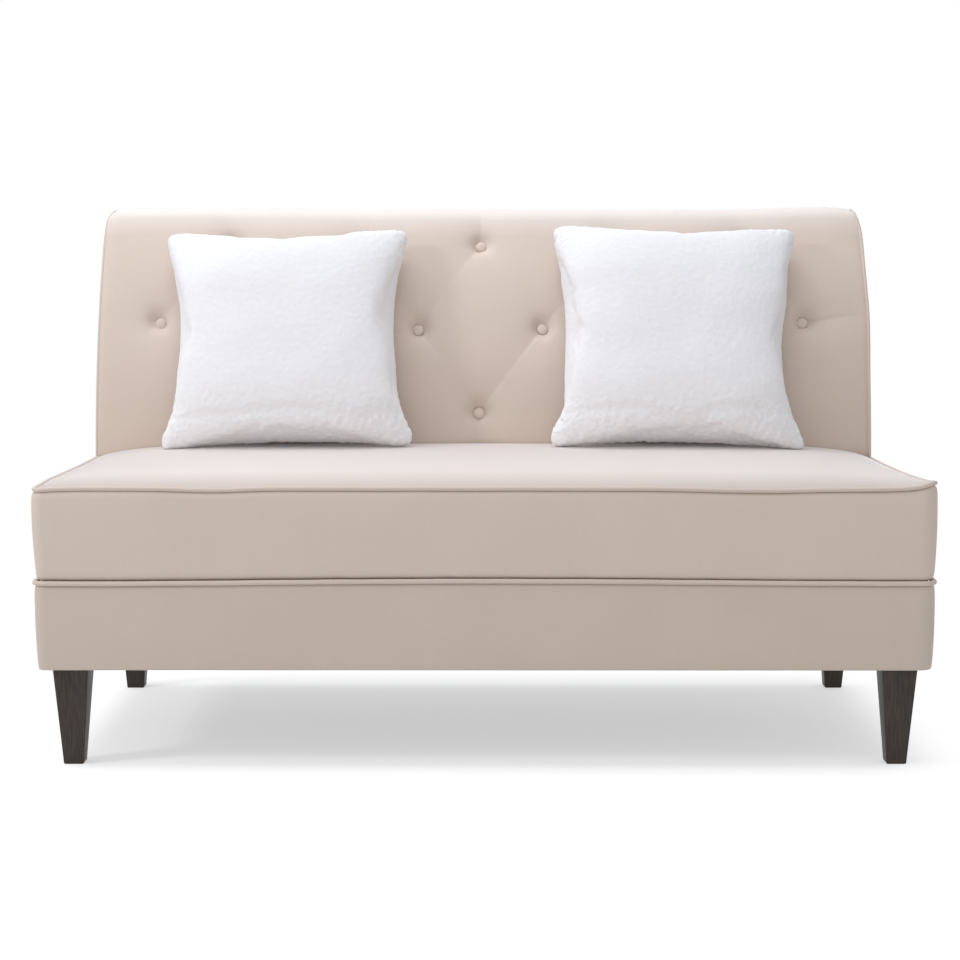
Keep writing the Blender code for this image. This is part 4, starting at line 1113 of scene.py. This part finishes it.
def buildDustCloth():
    half, cut, step = body["besideWelt"], body["cornerRadii"][1], sideShape["dustStep"]
    front, rear = sideShape["dustInset"], body["baseDepth"] - sideShape["dustInset"]
    x, d = np.meshgrid(spread(-half, half, step), spread(front, rear, step))
    start = front + cut * (1 - np.clip((half - np.abs(x)) / cut, 0, 1))
    d = start + (d - front) * (rear - start) / (rear - front)
    toEdge = np.minimum(np.minimum(half - np.abs(x), d - front), rear - d)
    z = sideShape["dustZ"] - sideShape["dustSag"] * smoothStep(0.03, 0.25, toEdge)
    z = z - ripple(x, d, sideShape["dustWaves"]) * smoothStep(0.02, 0.08, toEdge)
    upper = np.stack([x, toY(d), z + sideShape["dustThickness"]], -1)
    piece = addSlab("dustCloth", upper, np.stack([x, toY(d), z], -1), cambric, np.stack([x, d], -1))
    place(piece, "dust_cover")


for side, sign in (("left", -1), ("right", 1)):
    buildSide(side, sign)
buildOutsideBack()
buildDustCloth()
print("side panels, outside back and dust cloth built")


# Padding and hessian, which the covers hide
innards = {
    "backHalf": 0.6645,
    "backSteps": (0.03, 0.02),
    "foamGap": 0.0004,
    "foamRear": 0.0447,
    "foamRearAtCrest": 0.030,
    "hessian": (0.0451, 0.0463),
    "seatHalf": 0.6675,
    "seatFront": 0.0036,
    "seatRear": 0.5280,
    "seatCorner": 0.0185,
    "seatStep": 0.02,
    "seatZ": (0.4213, 0.2936),
}


def buildInnards():
    half, start = innards["backHalf"], backShape["startS"]
    stepX, stepS = innards["backSteps"]
    xs = spread(-half, half, stepX)
    x, s = np.meshgrid(xs, spread(start, back["rollEnd"] - 0.004, stepS))
    top = coverDepth(s) + innards["foamGap"]
    rears = [backShape["quilt"] + backShape["foam"], innards["foamRearAtCrest"]]
    deep = np.interp(s, [back["frontEnd"], back["crest"]], rears)
    deep = np.maximum(np.minimum(deep, innards["foamRear"]), top + 0.004)
    pad = addSlab("backFoamPad", backSurface(x, s, top), backSurface(x, s, deep), foam)
    place(pad, "back_foam")
    ss = spread(start, back["frontEnd"] - 0.002, stepS)
    x, s = np.meshgrid(xs, ss)
    near, far = (backSurface(x, s, depth) for depth in innards["hessian"])
    sheet = addSlab("backHessian", near, far, hessian, np.stack([x, s], -1))
    place(sheet, "back_hessian")
    half, front, corner = innards["seatHalf"], innards["seatFront"], innards["seatCorner"]
    step = innards["seatStep"]
    x, d = np.meshgrid(spread(-half, half, step), spread(front, innards["seatRear"], step))
    reach = np.clip((half - np.abs(x)) / corner, 0, 1)
    d = np.maximum(d, front + corner * (1 - np.sqrt(np.clip(1 - (1 - reach) ** 2, 0, 1))))
    high, low = (np.stack([x, toY(np.minimum(d, seatRear(z))), np.full(x.shape, z)], -1) for z in innards["seatZ"])
    block = addSlab("seatFoamBlock", high, low, foam, None, 50)
    place(block, "seat_foam")


buildInnards()
print("padding and hessian built")


# Square tapered legs: sides planed to a taper, long edges eased by a few strokes of abrasive.
# The foot's edge is eased too: height and loss of half width.
legShape = {
    "top": 0.054,
    "foot": 0.030,
    "easing": 0.0016,
    "footEdge": ((0.0, 0.0014), (0.0006, 0.0005), (0.0016, 0.0)),
    "sides": (("left", -0.628), ("right", 0.628)),
    "ends": (("Front", -0.331733), ("Rear", 0.244267)),
}


def buildLeg(name, x, y):
    tall, ease = body["legTop"], legShape["easing"]
    rings = [*legShape["footEdge"], *((z, 0.0) for z in np.linspace(0.006, tall - 0.002, 16)), (tall - 0.0004, 0.0)]
    points = []
    for z, shrink in rings:
        half = (legShape["foot"] + (legShape["top"] - legShape["foot"]) * z / tall) / 2 - shrink - ease
        for corner, (sx, sy) in enumerate(((1, 1), (-1, 1), (-1, -1), (1, -1))):
            for angle in np.linspace(corner * math.pi / 2, (corner + 1) * math.pi / 2, 5):
                points.append((x + sx * half + ease * math.cos(angle), y + sy * half + ease * math.sin(angle), z))
    faces = ringFaces(len(rings), len(points) // len(rings))
    return addMesh(name, points, faces, legWood, None, 40)


for end, y in legShape["ends"]:
    for side, x in legShape["sides"]:
        leg = buildLeg(side + end + "TaperedLeg", x, y)
        place(leg, f"{side}_{end.lower()}_leg")
print("legs built")


# Loose plush pillows: a sewn square case, crowned, then stuffed by a cloth simulation and set in place.
# Each is squashed its own way: share of the height, sag of the top edge and, from top to bottom,
# (share of the half height, inward push of the left side, inward push of the right side) in mm.
pillowShape = {
    "width": 0.420,
    "height": 0.405,
    "front": 0.088,
    "rear": 0.036,
    "cells": 56,
    "rimCrowding": 0.94,
    "waist": 0.024,
    "bluntCorners": 0.070,
    "wrinkle": 0.0012,
    "centre": 0.336,
    "stand": (0.0872, 0.44822),
    "lean": math.radians(22.5),
    "tilt": math.radians(1.0),
    "pile": 0.006,
    "knob": 0.0090,
    "tuftMm": 8.5,
    "tuftHeight": 0.0007,
    "lowTufts": 2.2,
    "rimTuftMm": 8.0,
    "rimTufts": 0.0016,
    "swell": 0.0015,
    "fold": 0.0026,
    "foldAt": -0.79,
    "foldWidth": 0.045,
    "foldWander": (0.09, 0.09),
    "pressure": 3.0,
    "frames": 16,
    "mostMove": 0.012,
    "backGap": 0.0008,
    "seatGap": 0.0012,
    "left": (
        0.971, 0.008,
        (
            (1.0, 0, 9), (0.9, 0, 9.5), (0.72, -2.5, 6), (0.5, -3, 9), (0.3, 1, 10.5), (0.05, 2, 11),
            (-0.28, -1, 7.5), (-0.5, 1.5, 9.5), (-0.7, 5.5, 6), (-0.8, 4, 5.5), (-0.9, -1, 3), (-1.0, 1, 4),
        ),
    ),
    "right": (
        0.986, 0.003,
        (
            (1.0, -7, 11), (0.9, -5, 13), (0.72, -12, 11), (0.5, -13.5, 8), (0.3, -10, 7), (0.1, -10.5, 13),
            (-0.1, -10.5, 18), (-0.37, -7, 18), (-0.55, -4.5, 17.5), (-0.68, -1.5, 15.5), (-0.78, -3, 14),
            (-0.87, -7, 10), (-1.0, -7, 1),
        ),
    ),
}


def sewnPillow(seed):
    # front and rear squares share their rim; the sides draw in between the corners, which stay plump
    cells, waist, pile = pillowShape["cells"], pillowShape["waist"], pillowShape["pile"]
    crowding = math.pi / 2 * pillowShape["rimCrowding"]
    values = np.sin(np.linspace(-1, 1, cells + 1) * crowding) / math.sin(crowding)
    u, v = np.meshgrid(values, values)
    blunt = 1 - pillowShape["bluntCorners"] * np.abs(u * v) ** 6
    x = u * blunt * (pillowShape["width"] / 2 - pile - waist * (1 - np.abs(v) ** 2.2) * u**2)
    up = v * blunt * (pillowShape["height"] / 2 - pile - 0.5 * waist * (1 - np.abs(u) ** 2.2) * v**2)
    puff = ((1 - np.abs(u) ** 2.8) * (1 - np.abs(v) ** 3.2)) ** 0.5
    front = np.stack([x, (pile - pillowShape["front"]) * puff, up + pillowShape["height"] / 2], -1)
    rear = np.stack([x, (pillowShape["rear"] - pile) * puff, front[..., 2]], -1)
    points = np.concatenate([front.reshape(-1, 3), rear[1:-1, 1:-1].reshape(-1, 3)])
    index = np.arange((cells + 1) ** 2).reshape(cells + 1, cells + 1)
    rearIndex = index.copy()
    rearIndex[1:-1, 1:-1] = np.arange(index.size, len(points)).reshape(cells - 1, cells - 1)
    faces = gridFaces(index) + [f[::-1] for f in gridFaces(rearIndex)]
    points += pillowShape["wrinkle"] * np.stack([softNoise(points, 0.07, seed + k) for k in range(3)], -1)
    return points, faces


def evaluated(piece):
    # a copy of the mesh with its modifiers applied, which then come off
    shape = bpy.data.meshes.new_from_object(piece.evaluated_get(bpy.context.evaluated_depsgraph_get()))
    piece.modifiers.clear()
    return shape


def readPoints(mesh, what="co"):
    values = np.zeros(len(mesh.vertices) * 3)
    mesh.vertices.foreach_get(what, values)
    return values.reshape(-1, 3)


def writePoints(mesh, points):
    mesh.vertices.foreach_set("co", points.astype(np.float32).ravel())
    mesh.update()


def stuffPillow(piece, points):
    # pressure fills the case; no point moves further than the cap
    filling = piece.modifiers.new("stuffing", "CLOTH")
    for key, value in (
        ("quality", 5), ("mass", 0.3), ("tension_stiffness", 15), ("compression_stiffness", 15),
        ("bending_stiffness", 0.5), ("use_pressure", True), ("uniform_pressure_force", pillowShape["pressure"]),
    ):
        setattr(filling.settings, key, value)
    filling.settings.effector_weights.gravity = 0
    filling.collision_settings.use_collision = False
    for step in range(1, pillowShape["frames"] + 1):
        bpy.context.scene.frame_set(step)
    shape = evaluated(piece)
    moved = readPoints(shape) - points
    bpy.data.meshes.remove(shape)
    bpy.context.scene.frame_set(1)
    far = np.linalg.norm(moved, axis=1)[:, None]
    return points + moved * np.minimum(1, pillowShape["mostMove"] / np.maximum(far, 1e-9))


def clearOfSofa(points):
    # the pillow rests on the seat and against the back: points that would enter them are pressed flat
    sRange = np.linspace(backShape["startS"], back["frontEnd"], 240)
    s = np.interp(points[:, 2], [backStation(at)[1] for at in sRange], sRange)
    face = backSurface(points[:, 0], s, backInset(points[:, 0], s))
    points[:, 1] = np.minimum(points[:, 1], face[:, 1] - pillowShape["backGap"])
    seat = crownHeight(points[:, 0], points[:, 1] + body["middleDepth"]) + pillowShape["seatGap"]
    points[:, 2] = np.maximum(points[:, 2], seat)
    return points


def plushSurface(co, normal, seed):
    # the pile stands off the knitted ground and lies in small tufts
    tuft = pillowShape["tuftMm"] / 1000
    u, v = co[:, 0] / pillowShape["width"] * 2, co[:, 2] / pillowShape["height"] * 2 - 1
    tufts = softNoise(co, tuft, seed) * 0.6 + softNoise(co, tuft / 2.2, seed + 1) * 0.4
    knobs = pillowShape["knob"] * np.clip(np.abs(u * v) * 1.06, 0, 1) ** 9
    # lower down the pile is crushed into clumps, under a soft fold where the case turns in to the seat
    tufts *= 1 + pillowShape["lowTufts"] * smoothStep(0.55, 0.85, -v)
    wander = ripple(co[:, 0], 0 * v, (*pillowShape["foldWander"], seed + 4))
    beside = (v - pillowShape["foldAt"] + wander) / pillowShape["foldWidth"]
    fold = pillowShape["fold"] * np.exp(-(beside**2)) * smoothStep(0.0, 0.25, 0.92 - np.abs(u)) * (co[:, 1] < 0)
    rim = smoothStep(0.86, 0.97, np.maximum(np.abs(u), np.abs(v)))
    ragged = pillowShape["rimTufts"] * rim * softNoise(co, pillowShape["rimTuftMm"] / 1000, seed + 5)
    swells = pillowShape["swell"] * softNoise(co, 0.06, seed + 2)
    out = pillowShape["pile"] + knobs - fold + ragged + pillowShape["tuftHeight"] * tufts + swells
    return co + normal * out[:, None], u, v


def buildPillow(side, sign, seed):
    points, faces = sewnPillow(seed)
    piece = addMesh(side + "PlushPillow", points, faces, plush)
    points = stuffPillow(piece, points)
    # bring the stuffed case to the size of the CAD's pillow
    low, high = points.min(0), points.max(0)
    pile = pillowShape["pile"]
    points[:, 0] *= (pillowShape["width"] - 2 * pile) / (high[0] - low[0])
    points[:, 2] = pile + (points[:, 2] - low[2]) * (pillowShape["height"] - 2 * pile) / (high[2] - low[2])
    front, rear = pillowShape["front"] - pile, pillowShape["rear"] - pile
    points[:, 1] *= np.where(points[:, 1] < 0, front / -low[1], rear / high[1])
    coarse = piece.data
    writePoints(coarse, points)
    finer = piece.modifiers.new("finer", "SUBSURF")
    finer.levels = finer.render_levels = 2
    piece.data = shape = evaluated(piece)
    bpy.data.meshes.remove(coarse)
    co, u, v = plushSurface(readPoints(shape), readPoints(shape, "normal"), seed)
    tall, sag, pushes = pillowShape[side]
    heights, fromLeft, fromRight = np.array(pushes[::-1]).T
    push = np.where(u < 0, np.interp(v, heights, fromLeft), -np.interp(v, heights, fromRight)) / 1000
    co[:, 0] += push * np.clip(np.abs(u), 0, 1) ** 1.5
    co[:, 2] = co[:, 2] * tall - sag * smoothStep(0.2, 1.0, v) * np.cos(np.clip(u, -1, 1) * math.pi / 2) ** 0.8
    turn = Euler((-pillowShape["lean"], sign * pillowShape["tilt"], 0)).to_matrix()
    writePoints(shape, clearOfSofa(co @ np.array(turn).T + (sign * pillowShape["centre"], *pillowShape["stand"])))
    shape.shade_smooth()
    place(piece, side + "_pillow", side + "_pillow")


buildPillow("left", -1, 3.0)
buildPillow("right", 1, 9.0)
print("pillows stuffed")


# Timber, springs and bolts keep their CAD shapes
def finishFrame():
    alongX = ("front_seat_rail", "rear_seat_rail", "spring_cross_rail", "back_top_rail")
    for name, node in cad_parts.items():
        if name in alongX:
            finish = pineAlong[0]
        elif name.endswith(("_seat_rail", "_block")):
            finish = pineAlong[1]
        elif name.endswith("_post"):
            finish = pineAlong[2]
        elif name.endswith("_bolt"):
            finish = boltSteel
        elif "spring" in name:
            finish = springSteel
        else:
            continue
        node.data.materials.clear()
        node.data.materials.append(finish)


finishFrame()
print("timber, springs and bolts finished")


# Studio: white floor and backdrop, one large soft key from the upper left, weaker fill all round.
# Each lamp has its power in watts, width, place, aim and colour.
studio = {
    "floorColour": "#dedede",
    "bounceColour": "#dcdcda",
    "floorGlow": 0.51,
    "floorReach": 14.0,
    "whiteFrom": (1.7, 2.3),
    "besideFrom": (0.60, 0.76),
    "worldGrey": 0.525,
    "lamps": (
        ("softKey", 27.5, 0.6, (-3.1, -1.5, 2.1), (0, 0.2, 0.6), (1.0, 1.0, 1.0)),
        ("frontFill", 14, 1.6, (0, -4.2, 0.7), (0, 0, 0.4), (1.0, 1.0, 1.0)),
        ("overhead", 142, 3.4, (-0.9, 0.3, 5.0), (-0.05, 0.1, 0.3), (0.99, 1.02, 1.08)),
        ("rearFill", 20, 3.0, (0.4, 3.6, 1.0), (0, 0, 0.1), (0.98, 1.02, 1.12)),
    ),
    "cameraSpot": (-0.0068, -3.47873, 0.7618),
    "cameraTurn": (math.pi / 2 - 0.1036, 0, 0.0003),
    "lens": 78.46,
    "sensor": 36,
}


def cameraRays(material):
    # 1 for rays that show the backdrop: seen straight, in gloss or through glass
    rays = addNode(material, "LightPath").node.outputs
    share = calculate(material, "MAXIMUM", rays["Is Camera Ray"], rays["Is Glossy Ray"])
    return calculate(material, "MAXIMUM", share, rays["Is Transmission Ray"])


def makeFloor():
    # White seamless paper: it takes the settee's shadow close by, and further off is as white as the backdrop
    material = newMaterial("whiteStudioFloor")
    plain = addNode(material, "BsdfDiffuse", {"Color": studio["floorColour"]})
    glow = addNode(material, "Emission", {"Color": "#ffffff", "Strength": studio["floorGlow"]})
    near = addNode(material, "AddShader", {0: plain, 1: glow})
    where = objectPlace(material)
    distance = addNode(material, "VectorMath", {0: where}, "Value", operation="LENGTH")
    sideways = calculate(material, "ABSOLUTE", addNode(material, "SeparateXYZ", {0: where}, "X"))
    beside = mapRange(material, sideways, studio["besideFrom"], interpolation_type="SMOOTHSTEP")
    far = calculate(material, "MAXIMUM", mapRange(material, distance, studio["whiteFrom"]), beside)
    white = addNode(material, "Emission", {"Color": "#ffffff", "Strength": 1.0})
    seen = addNode(material, "MixShader", {0: far, 1: near, 2: white})
    bounce = addNode(material, "BsdfDiffuse", {"Color": studio["bounceColour"]})
    both = addNode(material, "MixShader", {0: cameraRays(material), 1: bounce, 2: seen})
    addNode(material, "OutputMaterial", {"Surface": both})
    return material


def buildStudio():
    scene = bpy.context.scene
    reach = studio["floorReach"]
    corners = [(-reach, -reach, 0), (reach, -reach, 0), (reach, reach, 0), (-reach, reach, 0)]
    floorMesh = bpy.data.meshes.new("studioFloor")
    floorMesh.from_pydata(corners, [], [(0, 1, 2, 3)])
    floorMesh.materials.append(makeFloor())
    floor = bpy.data.objects.new("studioFloor", floorMesh)
    scene.collection.objects.link(floor)

    world = bpy.data.worlds.new("studioWorld")
    world.use_nodes = True
    world.node_tree.nodes.clear()
    light = addNode(world, "Background", {"Color": "#ffffff", "Strength": studio["worldGrey"]})
    white = addNode(world, "Background", {"Color": "#ffffff", "Strength": 1.0})
    mixed = addNode(world, "MixShader", {0: cameraRays(world), 1: light, 2: white})
    addNode(world, "OutputWorld", {"Surface": mixed})
    scene.world = world

    for name, power, size, spot, target, colour in studio["lamps"]:
        lamp = bpy.data.lights.new(name, "AREA")
        lamp.shape = "SQUARE"
        lamp.size = size
        lamp.energy = power
        lamp.color = colour
        lampObject = bpy.data.objects.new(name, lamp)
        lampObject.location = spot
        lampObject.rotation_euler = (Vector(target) - Vector(spot)).to_track_quat("-Z", "Y").to_euler()
        lampObject.visible_camera = False
        scene.collection.objects.link(lampObject)

    cameraData = bpy.data.cameras.new("camera")
    cameraData.lens = studio["lens"]
    cameraData.sensor_width = studio["sensor"]
    camera = bpy.data.objects.new("camera", cameraData)
    camera.location = studio["cameraSpot"]
    camera.rotation_euler = studio["cameraTurn"]
    scene.collection.objects.link(camera)
    scene.camera = camera
    scene.view_settings.view_transform = "Standard"


buildStudio()
print("studio built")

print("done")
